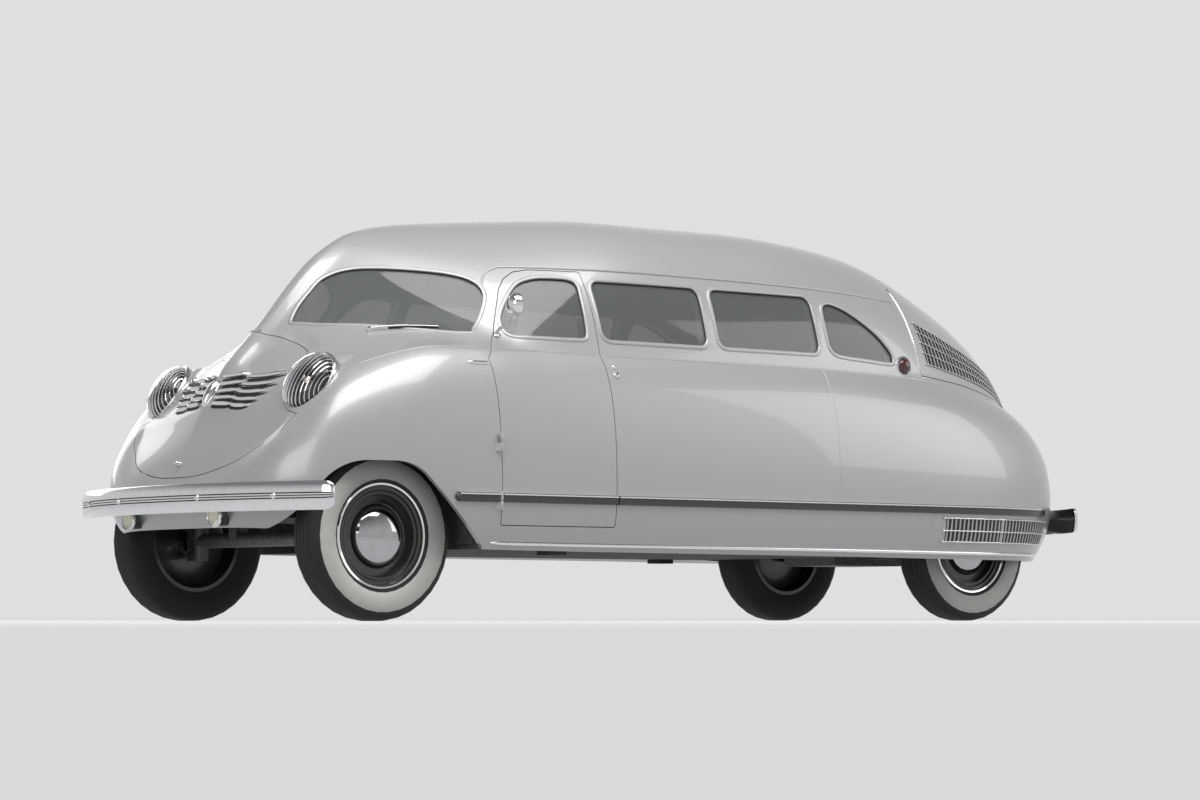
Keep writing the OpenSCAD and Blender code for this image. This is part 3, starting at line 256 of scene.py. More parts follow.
# Colour, roughness, share by which the colour varies, scale of the grain, bump and its scale
PAINT = material("paint", (.50, .51, .50), .37, .02, 900, .02, 700, Metallic=.28, Coat_Weight=.7)
LINING = material("lining", (.20, .19, .17), .85, .12, 300, .3, 900)
CHROME = material("chrome", (.66, .66, .67), .09, .03, 30, Metallic=1)
# Near-black glossy band of the rub rails: a painted dark reflection of the chrome
RAIL_DARK_REFLECTION = material("rail_painted_dark_reflection", (.045, .045, .047), .25, .1, 60, Metallic=.3, Coat_Weight=.4)
HUBCAP = material("hub_cap", (.40, .40, .41), .10, .05, 30, Metallic=1)
# Near-black: painted shade for the nose bar shadows, grille openings and bumper grooves, and the real black
# of the dial needles
BLACK_AND_SHADE = material("black_and_painted_shade", (.012, .012, .012), .6, .2, 80)
RUBBER = material("window_rubber", (.02, .02, .02), .7, .15, 200, .1)
TREAD = material("tyre_black", (.022, .022, .022), .78, .2, 60, .25, 260)
WHITE = material("whitewall", (.72, .71, .68), .6, .03, 25, .08, 300)
WHEEL = material("wheel_paint", (.05, .048, .045), .32, .12, 50, Metallic=.4, Coat_Weight=.5)
UNDER = material("underbody", (.085, .085, .083), .8, .25, 30, .3, 200)
CAST = material("castings", (.16, .16, .165), .6, .25, 60, .4, 160, Metallic=.6)
LEATHER = material("leather", (.20, .115, .062), .5, .16, 70, .35, 420)
PIPING = material("piping", (.11, .06, .035), .5, .15, 120)
DASH = material("dash_paint", (.26, .25, .23), .4, .06, 100, Metallic=.2, Coat_Weight=.4)
DIAL = material("dial_face", (.72, .70, .62), .4, .04, 80)
EBONY = material("steering_rim", (.016, .015, .014), .22, .2, 60, Coat_Weight=.5)
LENS = material("lamp_lens", (.82, .82, .78), .08, .03, 90, Alpha=.35)
REFLECT = material("reflector", (.80, .78, .62), .16, .05, 30, Metallic=1)
GLINT = material("mirror_glass", (.74, .75, .76), .04, .02, 20, Metallic=1)
RED = material("tail_glass", (.06, .004, .004), .12, .12, 60, Coat_Weight=.6)
GLASS = material("window_glass", (.20, .21, .21), .05, .02, 12, Coat_Weight=.6, Alpha=.52)
# Opaque black dome behind the headlamp flutes: painted shade in place of the lamp's inside
DOME_SHADE = material("lamp_dome_painted_shade", (.012, .012, .012), .12, .2, 60, Coat_Weight=.6)
ALLOY = material("alloy_heads", (.36, .36, .35), .48, .15, 80, .3, 220, Metallic=.8)


def raw_mesh(name, verts, faces, mats, marks):
    me = bpy.data.meshes.new(name)
    me.from_pydata((np.asarray(verts) * MM).tolist(), [], faces)
    for m in mats:
        me.materials.append(m)
    me.polygons.foreach_set("material_index", np.asarray(marks, np.int32))
    me.update()
    return me


def mesh(name, verts, faces, mats, marks):
    me = raw_mesh(name, verts, faces, mats, marks)
    me.polygons.foreach_set("use_smooth", np.full(len(me.polygons), True))
    me.validate()
    me.update()
    return me


def place(name, data):
    ob = bpy.data.objects.new(name, data)
    bpy.context.collection.objects.link(ob)
    return ob


def piece(name, me, body, stands=(), angle=None):
    ob = place(name, me)
    if angle is not None:
        me.set_sharp_from_angle(angle=math.radians(angle))
    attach(ob, body)
    if stands:
        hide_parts(*stands)
    return ob


def outward(me):
    bm = bmesh.new()
    bm.from_mesh(me)
    bmesh.ops.remove_doubles(bm, verts=bm.verts, dist=1e-6)
    bmesh.ops.recalc_face_normals(bm, faces=bm.faces)
    bm.to_mesh(me)
    bm.free()
    return me


def flip(data):
    return (data[0] * MIRROR, [tuple(reversed(q)) for q in data[1]], *data[2:])


class Build:
    """Gathers several shapes into one mesh."""

    def __init__(self):
        self.v, self.f, self.m, self.n = [], [], [], 0

    def add(self, verts, faces, mat=0):
        self.v.append(np.asarray(verts, float))
        self.f += [[int(i) + self.n for i in f] for f in faces]
        self.m += list(mat) if isinstance(mat, (list, np.ndarray)) else [mat] * len(faces)
        self.n += len(verts)
        return self

    def turn(self, profile, seg, centre, axis, mat=0):
        return self.add(*lathe(profile, seg, centre, axis, mat))

    def data(self):
        return np.concatenate(self.v), self.f, self.m

    def mirrored(self):
        return self.add(*flip(self.data()))

    def piece(self, name, mats, body, slot, stands=(), angle=40):
        v, f, m = self.data()
        return piece(name, outward(mesh(name, v, f, mats, m)), body, stands, angle)


def unit(a):
    a = np.asarray(a, float)
    return a / np.maximum(np.linalg.norm(a, axis=-1, keepdims=True), 1e-9)


# Faces between n rows of c points each
def quads(n, c, closed=False, around=True):
    return [(i * c + j, (i + 1) % n * c + j, (i + 1) % n * c + (j + 1) % c, i * c + (j + 1) % c)
            for i in range(n if closed else n - 1) for j in range(c if around else c - 1)]


# First and last row, each as one face
def caps(n, c):
    return [tuple(range(c)), tuple((n - 1) * c + j for j in range(c - 1, -1, -1))]


# Sweeps a profile of (across, out) points along points with outward normals
def sweep(points, outs, profile, closed=False, taper=None):
    p, n = np.asarray(points, float), unit(outs)
    t = np.roll(p, -1, 0) - np.roll(p, 1, 0) if closed else np.gradient(p, axis=0)
    side = unit(np.cross(n, unit(t)))
    k = np.ones(len(p)) if taper is None else np.asarray(taper, float)
    prof = np.asarray(profile, float)
    m, c = len(p), len(prof)
    v = (p[:, None, :] + prof[None, :, 0, None] * side[:, None, :] * k[:, None, None]
         + prof[None, :, 1, None] * n[:, None, :] * k[:, None, None]).reshape(-1, 3)
    f = quads(m, c, closed)
    if not closed:
        f += [q[::-1] for q in caps(m, c)]
    return v, f


def ring_profile(w, h, count):
    a = np.linspace(0, 2 * np.pi, count, endpoint=False)
    return [(w * math.cos(x), h * math.sin(x)) for x in a]


def dome(w, h, count, sink=2):
    a = np.linspace(0, np.pi, count)
    return [(w, -sink)] + [(w * math.cos(x), h * math.sin(x)) for x in a] + [(-w, -sink)]


# An axis well away from the given one
def aside(axis):
    return Z if abs(axis[2]) < .9 else X


# Turns a profile of (radius, along) points about an axis
def lathe(profile, seg, centre, axis, mats):
    centre, axis = np.asarray(centre, float), unit(axis)
    e1 = unit(np.cross(aside(axis), axis))
    e2 = np.cross(axis, e1)
    pr = np.asarray(profile, float)
    n = len(pr)
    v, f, m = [], [], []
    for a in np.linspace(0, 2 * np.pi, seg, endpoint=False):
        d = math.cos(a) * e1 + math.sin(a) * e2
        v.append(centre + pr[:, :1] * d + pr[:, 1:2] * axis)
    for i in range(seg):
        a, b = i * n, ((i + 1) % seg) * n
        for j in range(n - 1):
            if pr[j, 0] < 1e-6 and pr[j + 1, 0] < 1e-6:
                continue
            f.append((a + j, a + j + 1, b + j + 1, b + j))
            m.append(mats[j] if isinstance(mats, (list, tuple)) else mats)
    return np.concatenate(v), f, m


def box(lo, hi):
    v = [(x, y, z) for x in (lo[0], hi[0]) for y in (lo[1], hi[1]) for z in (lo[2], hi[2])]
    f = [(0, 1, 3, 2), (4, 6, 7, 5), (0, 4, 5, 1), (2, 3, 7, 6), (0, 2, 6, 4), (1, 5, 7, 3)]
    return np.array(v, float), f


# Outlines
def area(p):
    return sum(p[i - 1][0] * p[i][1] - p[i][0] * p[i - 1][1] for i in range(len(p)))


def lengths(p):
    return np.concatenate([[0], np.cumsum(np.linalg.norm(np.diff(p, axis=0), axis=1))])


def resample(poly, step):
    p = np.asarray(poly, float)
    q = np.vstack([p, p[:1]])
    d = lengths(q)
    keep = np.concatenate([[True], np.diff(d) > 1e-6])
    q, d = q[keep], d[keep]
    s = np.linspace(0, d[-1], max(8, int(d[-1] / step)) + 1)[:-1]
    return np.stack([np.interp(s, d, q[:, k]) for k in range(q.shape[1])], 1)


def arc(centre, r, start, end, seg):
    return [centre + r * np.array([math.cos(t), math.sin(t)]) for t in np.linspace(start, end, seg)]


# Points of an outline that runs anticlockwise, and each one with its neighbours
def anticlockwise(points):
    p = np.asarray(points, float)
    return p[::-1] if area(p) < 0 else p


def corners(p):
    return zip(np.roll(p, 1, 0), p, np.roll(p, -1, 0))


STEP = 14.


def rounded_hull(centres, r, step=STEP, seg=7):
    out = []
    for a, b, d in corners(anticlockwise(centres)):
        n1 = math.atan2(-(b - a)[0], (b - a)[1])
        n2 = math.atan2(-(d - b)[0], (d - b)[1])
        while n2 < n1:
            n2 += 2 * math.pi
        out += arc(b, r, n1, n2, seg)
    return resample(out, step)


# Outline drawn in by a gap, with its corners rounded where there is room
def rounded_poly(points, r, gap=0., seg=6):
    p = anticlockwise(points)
    if gap:
        q = []
        for a, b, c in corners(p):
            n1 = np.array([(b - a)[1], -(b - a)[0]]) / np.linalg.norm(b - a)
            n2 = np.array([(c - b)[1], -(c - b)[0]]) / np.linalg.norm(c - b)
            q.append(b - gap * (n1 + n2) / (1 + n1 @ n2))
        p = np.array(q)
    out = []
    for a, b, c in corners(p):
        e1, e2 = unit(a - b), unit(c - b)
        half = .5 * math.acos(np.clip(e1 @ e2, -1, 1))
        if r <= 0 or half > 1.5:
            out.append(b)
            continue
        cut = min(r / math.tan(half), .45 * np.linalg.norm(a - b), .45 * np.linalg.norm(c - b))
        rr = cut * math.tan(half)
        centre = b + unit(e1 + e2) * rr / math.sin(half)
        s, e = b + e1 * cut - centre, b + e2 * cut - centre
        a0, a1 = math.atan2(s[1], s[0]), math.atan2(e[1], e[0])
        while a1 < a0:
            a1 += 2 * math.pi
        if a1 - a0 > math.pi:
            a1 -= 2 * math.pi
        out += arc(centre, rr, a0, a1, seg)
    return np.array(out)


def prism(poly, ex, ey, ez, z0, z1, origin=(0, 0, 0)):
    poly = np.asarray(poly, float)
    if (area(poly) > 0) != (np.cross(ex, ey) @ ez > 0):
        poly = poly[::-1]
    n = len(poly)
    base = np.asarray(origin, float) + poly[:, :1] * ex + poly[:, 1:2] * ey
    v = np.concatenate([base + z0 * ez, base + z1 * ez])
    f = [tuple(range(n - 1, -1, -1)), tuple(range(n, 2 * n))]
    f += [(i, (i + 1) % n, n + (i + 1) % n, n + i) for i in range(n)]
    return v, f


def side_prism(poly, y0, y1):
    return prism(poly, X, Z, -Y, -y1, -y0)


# Fine skin of the whole body
ROW_STEPS, FLANK_V = 8, .3
US = np.linspace(0, LAST, LAST * ROW_STEPS + 1)
VS = np.concatenate([np.linspace(0, FLANK_V, 6)[:-1], np.linspace(FLANK_V, 1, 16)[:-1],
                     np.linspace(1, 2, 27)])
CREASE_J = 20
NI, NJ = len(US), len(VS)
FJ = 2 * NJ - 1
UU, VV = np.meshgrid(US, VS, indexing="ij")
SKIN_P, SKIN_N = [a.reshape(NI, NJ, 3) for a in on_skin(UU, VV)]
wide = np.concatenate([SKIN_P[1:2] * MIRROR, SKIN_P, SKIN_P[-2:-1] * MIRROR])
gu = np.gradient(wide, axis=0)[1:-1]
gv = np.gradient(np.concatenate([SKIN_P, SKIN_P[:, -2:-1] * MIRROR], 1), axis=1)[:, :-1]
SKIN_N[2:-2] = unit(np.cross(gu, gv))[2:-2]
WALL = PANEL + (DOOR - PANEL) * np.clip(rows_at(FULL, US, False)[:, 7], 0, 1)


def both_sides(half):
    return np.concatenate([half, half[:, -2::-1] * MIRROR], 1).reshape(-1, 3)


def layer(depth):
    return both_sides(SKIN_P - SKIN_N * np.asarray(depth).reshape(-1, 1, 1))


def idx(i, j):
    return i * FJ + (min(j, FJ - 1 - j, CREASE_J) if i in (0, NI - 1) else j)


# A face of the skin, where corners that fall together count once
def grid_face(*points):
    q = [idx(i, j) for i, j in points]
    q = [k for n, k in enumerate(q) if k != q[n - 1]]
    return [tuple(q)] if len(set(q)) > 2 else []


OUTSIDE = []
for i in range(NI - 1):
    for j in range(FJ - 1):
        OUTSIDE += grid_face((i, j), (i + 1, j), (i + 1, j + 1), (i, j + 1))
FACE_OUT, FACE_IN, FACE_CUT = 0, 1, 2


def compact(v, f, m):
    used = sorted({k for q in f for k in q})
    new = {k: n for n, k in enumerate(used)}
    return v[used], [tuple(new[k] for k in q) for q in f], m


def skin_mesh(outer, inner):
    n = NI * FJ
    f = OUTSIDE + [tuple(k + n for k in reversed(q)) for q in OUTSIDE]
    m = [FACE_OUT] * len(OUTSIDE) + [FACE_IN] * len(OUTSIDE)
    for i in range(NI - 1):
        left = (idx(i, 0), idx(i + 1, 0))
        right = (idx(i + 1, FJ - 1), idx(i, FJ - 1))
        f += [(a, a + n, d + n, d) for a, d in (left, right)]
        m += [FACE_CUT] * 2
    return compact(np.concatenate([layer(outer), layer(inner)]), f, m)


def core_mesh(depth):
    f = list(OUTSIDE)
    for i in range(NI - 1):
        f += grid_face((i, 0), (i, FJ - 1), (i + 1, FJ - 1), (i + 1, 0))
    return compact(layer(depth), f, [FACE_OUT] * len(f))


def temp(v, f, marks):
    return place("cutter", raw_mesh("cutter", v, f, (PAINT, LINING, PAINT), marks))


def carve(base, *steps):
    ob = temp(*base)
    used = [ob]
    for op, (v, f) in steps:
        used.append(temp(v, f, [FACE_CUT] * len(f)))
        mod = ob.modifiers.new("cut", "BOOLEAN")
        mod.operation = op
        mod.solver = "MANIFOLD"
        mod.material_mode = "INDEX"
        mod.object = used[-1]
    dg = bpy.context.evaluated_depsgraph_get()
    me = bpy.data.meshes.new_from_object(ob.evaluated_get(dg))
    for o in used:
        old = o.data
        bpy.data.objects.remove(o)
        bpy.data.meshes.remove(old)
    return me


def less(*cuts):
    return [("DIFFERENCE", c) for c in cuts]


TREE = KDTree(NI * FJ)
TREE_N = both_sides(SKIN_N)
for k, co in enumerate(layer(0)):
    TREE.insert(Vector(co * MM), k)
TREE.balance()


# Gives outer and inner faces the surface's own normals, and leaves cut faces flat
def true_normals(me):
    cache = {}

    def at(vi):
        if vi not in cache:
            near = TREE.find_n(me.vertices[vi].co, 4)
            w = np.array([1 / (d + 1e-4) ** 2 for _, _, d in near])
            n = (TREE_N[[k for _, k, _ in near]] * w[:, None]).sum(0)
            cache[vi] = n / np.linalg.norm(n)
        return cache[vi]
    out = np.zeros((len(me.loops), 3))
    for p in me.polygons:
        p.use_smooth = True
        flat = np.array(p.normal)
        for li in p.loop_indices:
            out[li] = flat
            if p.material_index == FACE_CUT:
                continue
            n = at(me.loops[li].vertex_index)
            if p.material_index == FACE_IN:
                n = -n
            if n @ flat > .5:
                out[li] = n
    me.normals_split_custom_set(out.tolist())
    return me


WALL_MESH = skin_mesh(0, WALL)


# Windows
def curve(p, n):
    p = np.asarray(p, float)
    q = np.vstack([2 * p[0] - p[1], p, 2 * p[-1] - p[-2]])
    steps = np.linspace(0, 1, n, endpoint=False)
    out = [through(*q[i:i + 4], f) for i in range(len(p) - 1) for f in steps]
    return np.array(out + [p[-1]])


def closed_curve(points, n=10):
    p = np.asarray(points, float)
    q = curve(np.vstack([p[-2:], p, p[:2]]), n)
    return q[2 * n:-n - 1]


WINDOW_LOW, WINDOW_HIGH, WINDOW_R = 1206., 1474., 45.


def window_box(front, rear):
    c = [[front - WINDOW_R, WINDOW_LOW + WINDOW_R], [front - WINDOW_R, WINDOW_HIGH - WINDOW_R],
         [rear + WINDOW_R, WINDOW_HIGH - WINDOW_R], [rear + WINDOW_R, WINDOW_LOW + WINDOW_R]]
    return rounded_hull(c, WINDOW_R)


SIDE_WINDOWS = {
    "front": closed_curve([
        [1190, 1208], [1215, 1232], [1208, 1284], [1152, 1362], [1073, 1438], [1000, 1468], [930, 1477],
        [822, 1474], [789, 1450], [792, 1390], [804, 1240], [824, 1210], [880, 1206], [1100, 1206]]),
    "middle": window_box(727, 128),
    "rear": window_box(68, -548),
    "quarter": closed_curve([
        [-608, 1270], [-612, 1405], [-640, 1442], [-690, 1446], [-770, 1424], [-873, 1373],
        [-968, 1308], [-1028, 1242], [-1038, 1203], [-1008, 1187], [-852, 1194], [-690, 1203],
        [-630, 1220]])}
WINDOW_POLY = {k: resample(c, STEP) for k, c in SIDE_WINDOWS.items()}
PANE = np.array([
    [1892, 114, 1263], [1853, 89, 1325], [1782, 80, 1404], [1700, 88, 1480], [1575, 162, 1520],
    [1384, 366, 1508], [1252, 503, 1474], [1210, 575, 1418], [1240, 626, 1344], [1325, 672, 1233],
    [1372, 683, 1211], [1574, 572, 1226], [1800, 302, 1247], [1872, 160, 1253]])
PANE_AXIS = unit([.571, .566, .594])
PANE_E1 = unit(np.cross(Z, PANE_AXIS))
PANE_E2 = np.cross(PANE_AXIS, PANE_E1)
PANE_PROJ = np.stack([PANE_E1, PANE_E2])
PANE_POLY = resample(closed_curve(PANE @ PANE_PROJ.T), STEP)
PANE_MID, PANE_REACH = PANE.mean(0) @ PANE_AXIS, 170


def join(*parts):
    b = Build()
    for v, f in parts:
        b.add(v, f)
    v, f, _ = b.data()
    return v, [tuple(q) for q in f]


def pair(cut):
    return join(cut, flip(cut))


# How far each cutter reaches, and a length past either side of the body
WINDOW_SPAN, DOOR_SPAN, ARCH_SPAN = (300, 1200), (100, 1200), (414, 1334)
NOSE_SPAN, LAMP_SPAN = (-230, 1600), (-75, 190)
BEYOND = 1300
WINDOW_CUT = {k: side_prism(poly, *WINDOW_SPAN) for k, poly in WINDOW_POLY.items()}
PANE_CUT = prism(PANE_POLY, PANE_E1, PANE_E2, PANE_AXIS, PANE_MID - PANE_REACH, PANE_MID + PANE_REACH)
LEFT_CUTS = [*WINDOW_CUT.values(), PANE_CUT]
GLAZING = join(*LEFT_CUTS, *map(flip, LEFT_CUTS))

# Doors and lids
DRIVER = np.array([[1366, 397], [1372, 1100], [1270, 1215], [1155, 1418], [1112, 1466], [1055, 1500],
                   [985, 1513], [752, 1512], [752, 397]])
PASSENGER = np.array([[.1526, .2205], [.1526, .840], [.0185, .840], [.0185, .2205]]) * [LENGTH, ROOF]
DOOR_R, OPENING_R = 8, 9
DRIVER_FRONT, DRIVER_REAR = DRIVER[:, 0].max(), DRIVER[:, 0].min()
PASSENGER_FRONT, PASSENGER_REAR = PASSENGER[:, 0].max(), PASSENGER[:, 0].min()
ENGINE = np.array([[-.2481, 1.2], [-.2481, .632], [-.3141, .6155], [-.3786, .588], [-.4269, .549],
                   [-.4611, .515], [-.55, .500], [-.55, 1.2]]) * [LENGTH, ROOF]
NOSE_HINGE = np.array([.3996, 0, .686]) * SCALE
NOSE_PITCH = math.radians(32)
NOSE_AXIS = np.array([math.cos(NOSE_PITCH), 0, math.sin(NOSE_PITCH)])
NOSE_UP = np.array([-math.sin(NOSE_PITCH), 0, math.cos(NOSE_PITCH)])
NOSE_HALF = np.array([
    [0, -.4173], [.20, -.411], [.393, -.3834], [.52, -.335], [.612, -.2917], [.652, -.2384],
    [.566, -.2295], [.475, -.1762], [.455, -.120], [.42, -.070], [.326, -.029], [.18, -.0067],
    [0, -.0067]]) * [HALF, ROOF]
NOSE_CORNER = 6


def door_prism(poly, r, gap=0.):
    return side_prism(rounded_poly(poly, r, gap), *DOOR_SPAN)


def engine_prism(gap):
    return prism(rounded_poly(ENGINE, 0, gap), X, Z, -Y, -BEYOND, BEYOND)


def nose_prism(gap):
    across = np.array([-1, 1])
    low = curve(np.vstack([NOSE_HALF[1:2] * across, NOSE_HALF[:NOSE_CORNER]]), 12)[12:]
    half = np.vstack([low, curve(NOSE_HALF[NOSE_CORNER:], 8)])
    poly = np.vstack([half, half[::-1][1:-1] * across])
    return prism(rounded_poly(poly, 0, gap), Y, NOSE_UP, NOSE_AXIS, *NOSE_SPAN, NOSE_HINGE)


def turned(a, b, p):
    return (b[0] - a[0]) * (p[1] - a[1]) - (b[1] - a[1]) * (p[0] - a[0])


def convex(pts):
    pts = sorted(map(tuple, np.round(pts, 4)))
    out = []
    for seq in (pts, pts[::-1]):
        h = []
        for p in seq:
            while len(h) > 1 and turned(h[-2], h[-1], p) <= 0:
                h.pop()
            h.append(p)
        out += h[:-1]
    return np.array(out)


# Front wheel openings: the hull of six circles, given by x from the hub, height and radius
ARCH = np.array([[.37, 1.25, .62], [.02, 1.25, .62], [-1.21, .88, .03], [-1.21, -.5, .03],
                 [1.20, 1, .03], [1.20, -.5, .03]]) * TYRE_R
rim_points = np.concatenate([arc([x + FRONT_X, z], r, 0, 2 * np.pi, 64) for x, z, r in ARCH])
ARCH_CUT = side_prism(resample(convex(rim_points), 12), *ARCH_SPAN)

# Headlamps: an almond in the lamp's own frame, +x down the face, +y outward, +z out of the lamp
LAMP_C = np.array([2080., 540., 987.])
LAMP_YAW, LAMP_LEAN, LAMP_ROLL = np.radians([13., 32.8, -14.])
LAMP_Z = np.array([math.cos(LAMP_LEAN) * math.cos(LAMP_YAW), math.cos(LAMP_LEAN) * math.sin(LAMP_YAW),
                   math.sin(LAMP_LEAN)])
LEVEL = np.array([-math.sin(LAMP_YAW), math.cos(LAMP_YAW), 0])
DOWN = np.cross(LEVEL, LAMP_Z)
LAMP_X = DOWN * math.cos(LAMP_ROLL) + LEVEL * math.sin(LAMP_ROLL)
LAMP_Y = LEVEL * math.cos(LAMP_ROLL) - DOWN * math.sin(LAMP_ROLL)
LAMP_W, LAMP_H, LAMP_D, LAMP_RIM = 109., 135., 74., 13.
LAMP_SLACK = 7
LAMP_T = np.linspace(0, 2 * np.pi, 72, endpoint=False)


def lamp_point(x, y, z):
    parts = zip((x, y, z), (LAMP_X, LAMP_Y, LAMP_Z))
    return sum((np.multiply.outer(np.asarray(d, float), e) for d, e in parts), LAMP_C)


almond = np.stack([(LAMP_H + LAMP_SLACK) * np.cos(LAMP_T), (LAMP_W + LAMP_SLACK) * np.sin(LAMP_T)], 1)
LAMP_CUTS = pair(prism(almond, LAMP_X, LAMP_Y, LAMP_Z, *LAMP_SPAN, LAMP_C))
FOG_C = np.array([.4850, .365, .240]) * SCALE
TAIL_C = np.array([-.2217, .776, .654]) * SCALE

doorways = join(door_prism(DRIVER, OPENING_R), flip(door_prism(PASSENGER, OPENING_R)))
shell = carve(WALL_MESH, *less(GLAZING, doorways, nose_prism(0), engine_prism(0), pair(ARCH_CUT), LAMP_CUTS))
piece("body_shell", true_normals(shell), "van",
      ("front_body", "left_side", "right_side", "roof", "tail_body"))

SHEET = 6.
CORE = core_mesh(SHEET)
REBATE, HIGH = (-60, 46), 2200


# Inside of the skin along a door's rear edge, where the door is thin
def slab_core(rear):
    block = box((rear + REBATE[0], -BEYOND, 0), (rear + REBATE[1], BEYOND, HIGH))
    me = carve(CORE, ("INTERSECT", block))
    v = np.array([p.co[:] for p in me.vertices]) * METRE
    f = [tuple(p.vertices) for p in me.polygons]
    bpy.data.meshes.remove(me)
    return v, f


for body, outline, cuts in (
        ("driver_door", door_prism(DRIVER, DOOR_R, GAP), (GLAZING, slab_core(DRIVER_REAR))),
        ("passenger_door", flip(door_prism(PASSENGER, DOOR_R, GAP)), (GLAZING, slab_core(PASSENGER_REAR))),
        ("nose_lid", nose_prism(GAP), (LAMP_CUTS,)),
        ("engine_lid", engine_prism(GAP), ())):
    panel = carve(WALL_MESH, ("INTERSECT", outline), *less(*cuts))
    piece(body + "_panel", true_normals(panel), body, (body,))

GLASS_OUT, GLASS_IN = 8., 13.
PANES = skin_mesh(GLASS_OUT, GLASS_IN)
fixed = [WINDOW_CUT[k] for k in ("middle", "rear", "quarter")]
fixed += [flip(WINDOW_CUT[k]) for k in ("front", "rear", "quarter")]
for name, cut, body, stands in (
        ("windscreen_panes", pair(PANE_CUT), "van", "windscreen"),
        ("side_panes", join(*fixed), "van", "side_windows"),
        ("driver_door_pane", WINDOW_CUT["front"], "driver_door", "driver_door_glass"),
        ("passenger_door_pane", flip(WINDOW_CUT["middle"]), "passenger_door", "passenger_door_glass")):
    me = carve(PANES, ("INTERSECT", cut))
    me.materials.clear()
    for _ in (FACE_OUT, FACE_IN, FACE_CUT):
        me.materials.append(GLASS)
    piece(name, true_normals(me), body, (stands,))

# Beads and rubber round each window
BEAD = [(14, -2), (13, 2.2), (9, 4.2), (2, 4.6), (-3, 3.4), (-5, 0), (-5, -3)]
RUBBER_RING, RUBBER_SINK = ring_profile(6.5, 4.5, 8), 5


def trims(name, items, body):
    b = Build()
    for poly, proj, rows, mirrored in items:
        p, n = on_skin(*locate(poly, proj, rows))
        if mirrored:
            p, n = p[::-1] * MIRROR, n[::-1] * MIRROR
        b.add(*sweep(p, n, BEAD, closed=True), 0)
        b.add(*sweep(p - n * RUBBER_SINK, n, RUBBER_RING, closed=True), 1)
    b.piece(name, [PAINT, RUBBER], body, "paint", angle=50)


def side_item(name, mirrored):
    return WINDOW_POLY[name], PROJ_SIDE, (6.3, 13.2), mirrored


items = [side_item(k, False) for k in ("middle", "rear", "quarter")]
items += [side_item(k, True) for k in ("front", "rear", "quarter")]
items += [(PANE_POLY[::-1], PANE_PROJ, (5.2, 8.6), m) for m in (False, True)]
trims("window_beads", items, "van")
trims("driver_window_bead", [side_item("front", False)], "driver_door")
trims("passenger_window_bead", [side_item("middle", True)], "passenger_door")

# Camera, with its focal length in pixels of a frame 1200 wide
FOCAL, FRAME, SENSOR = 3595.4, 1200, 36
cam = bpy.data.cameras.new("camera")
cam.sensor_width = SENSOR
cam.lens = FOCAL / FRAME * SENSOR
cam.clip_end = 200
eye = place("camera", cam)
yaw, pitch = math.radians(38.813), math.radians(3.466)
look = Vector((-math.sin(yaw) * math.cos(pitch), -math.cos(yaw) * math.cos(pitch), math.sin(pitch)))
eye.location = (10.4087, 12.806, .015)
eye.rotation_euler = look.to_track_quat("-Z", "Y").to_euler()
bpy.context.scene.camera = eye


# Floor and light
def seen_rays(nt):
    path = node(nt, "LightPath")
    seen = path.outputs["Is Camera Ray"]
    for other in ("Is Glossy Ray", "Is Transmission Ray"):
        either = node(nt, "Math")
        either.operation = "MAXIMUM"
        nt.links.new(seen, either.inputs[0])
        nt.links.new(path.outputs[other], either.inputs[1])
        seen = either.outputs[0]
    return seen


FLOOR = material("floor", (.21, .21, .208), .9, .01, 3, Specular_IOR_Level=0,
                 Emission_Color=(.97, .98, 1, 1))
nt = FLOOR.node_tree
glow = nt.nodes["Principled BSDF"].inputs["Emission Strength"]
FLOOR_GLOW, FLOOR_R, FLOOR_SIDES = .68, 90, 64
nt.links.new(remap(nt, seen_rays(nt), 0, FLOOR_GLOW), glow)
turns = np.linspace(0, 2 * math.pi, FLOOR_SIDES, endpoint=False)
me = bpy.data.meshes.new("floor")
me.from_pydata([(FLOOR_R * math.cos(a), FLOOR_R * math.sin(a), 0) for a in turns], [],
               [tuple(range(FLOOR_SIDES))])
me.materials.append(FLOOR)
floor = place("floor", me)


def lamp(name, loc, target, size, power, size_y=None):
    la = bpy.data.lights.new(name, "AREA")
    la.energy = power
    la.shape = "RECTANGLE"
    la.size = size
    la.size_y = size_y or size
    ob = place(name, la)
    ob.location = loc
    ob.rotation_euler = (Vector(target) - Vector(loc)).to_track_quat("-Z", "Y").to_euler()


lamp("key", (1.5, 3.0, 6.5), (0, 0, .8), 7.6, 440, 4.0)
lamp("front", (9, 3, 3.6), (1.5, 0, .8), 4.2, 110)
lamp("rear_fill", (-7, 5, 3.5), (-1, 0, .8), 4.0, 90)
lamp("right_fill", (0, -8, 4), (0, 0, .8), 5.0, 140)
world = bpy.data.worlds.new("world")
bpy.context.scene.world = world
world.use_nodes = True
nt = world.node_tree
split = node(nt, "SeparateXYZ")
nt.links.new(node(nt, "TexCoord").outputs["Generated"], split.inputs[0])
HORIZON, ZENITH, SKY_LIGHT = (.735, .74, .75), (.26, .265, .275), .42
sky = ramp(nt, split.outputs["Z"], (.20, HORIZON), (.62, ZENITH))
nt.links.new(sky, nt.nodes["Background"].inputs["Color"])
nt.links.new(remap(nt, seen_rays(nt), SKY_LIGHT, 1), nt.nodes["Background"].inputs["Strength"])
bpy.context.scene.view_settings.view_transform = "Standard"


# Places on the skin at the given x and z
def at_xz(x, z, rows=(6.3, 14.6)):
    return on_skin(*locate(np.stack(np.broadcast_arrays(x, z), -1), PROJ_SIDE, rows))


def lay(b, places, profile, mat=0, taper=None, lift=0.):
    p, n = places
    b.add(*sweep(p + n * lift, n, profile, taper=taper), mat)


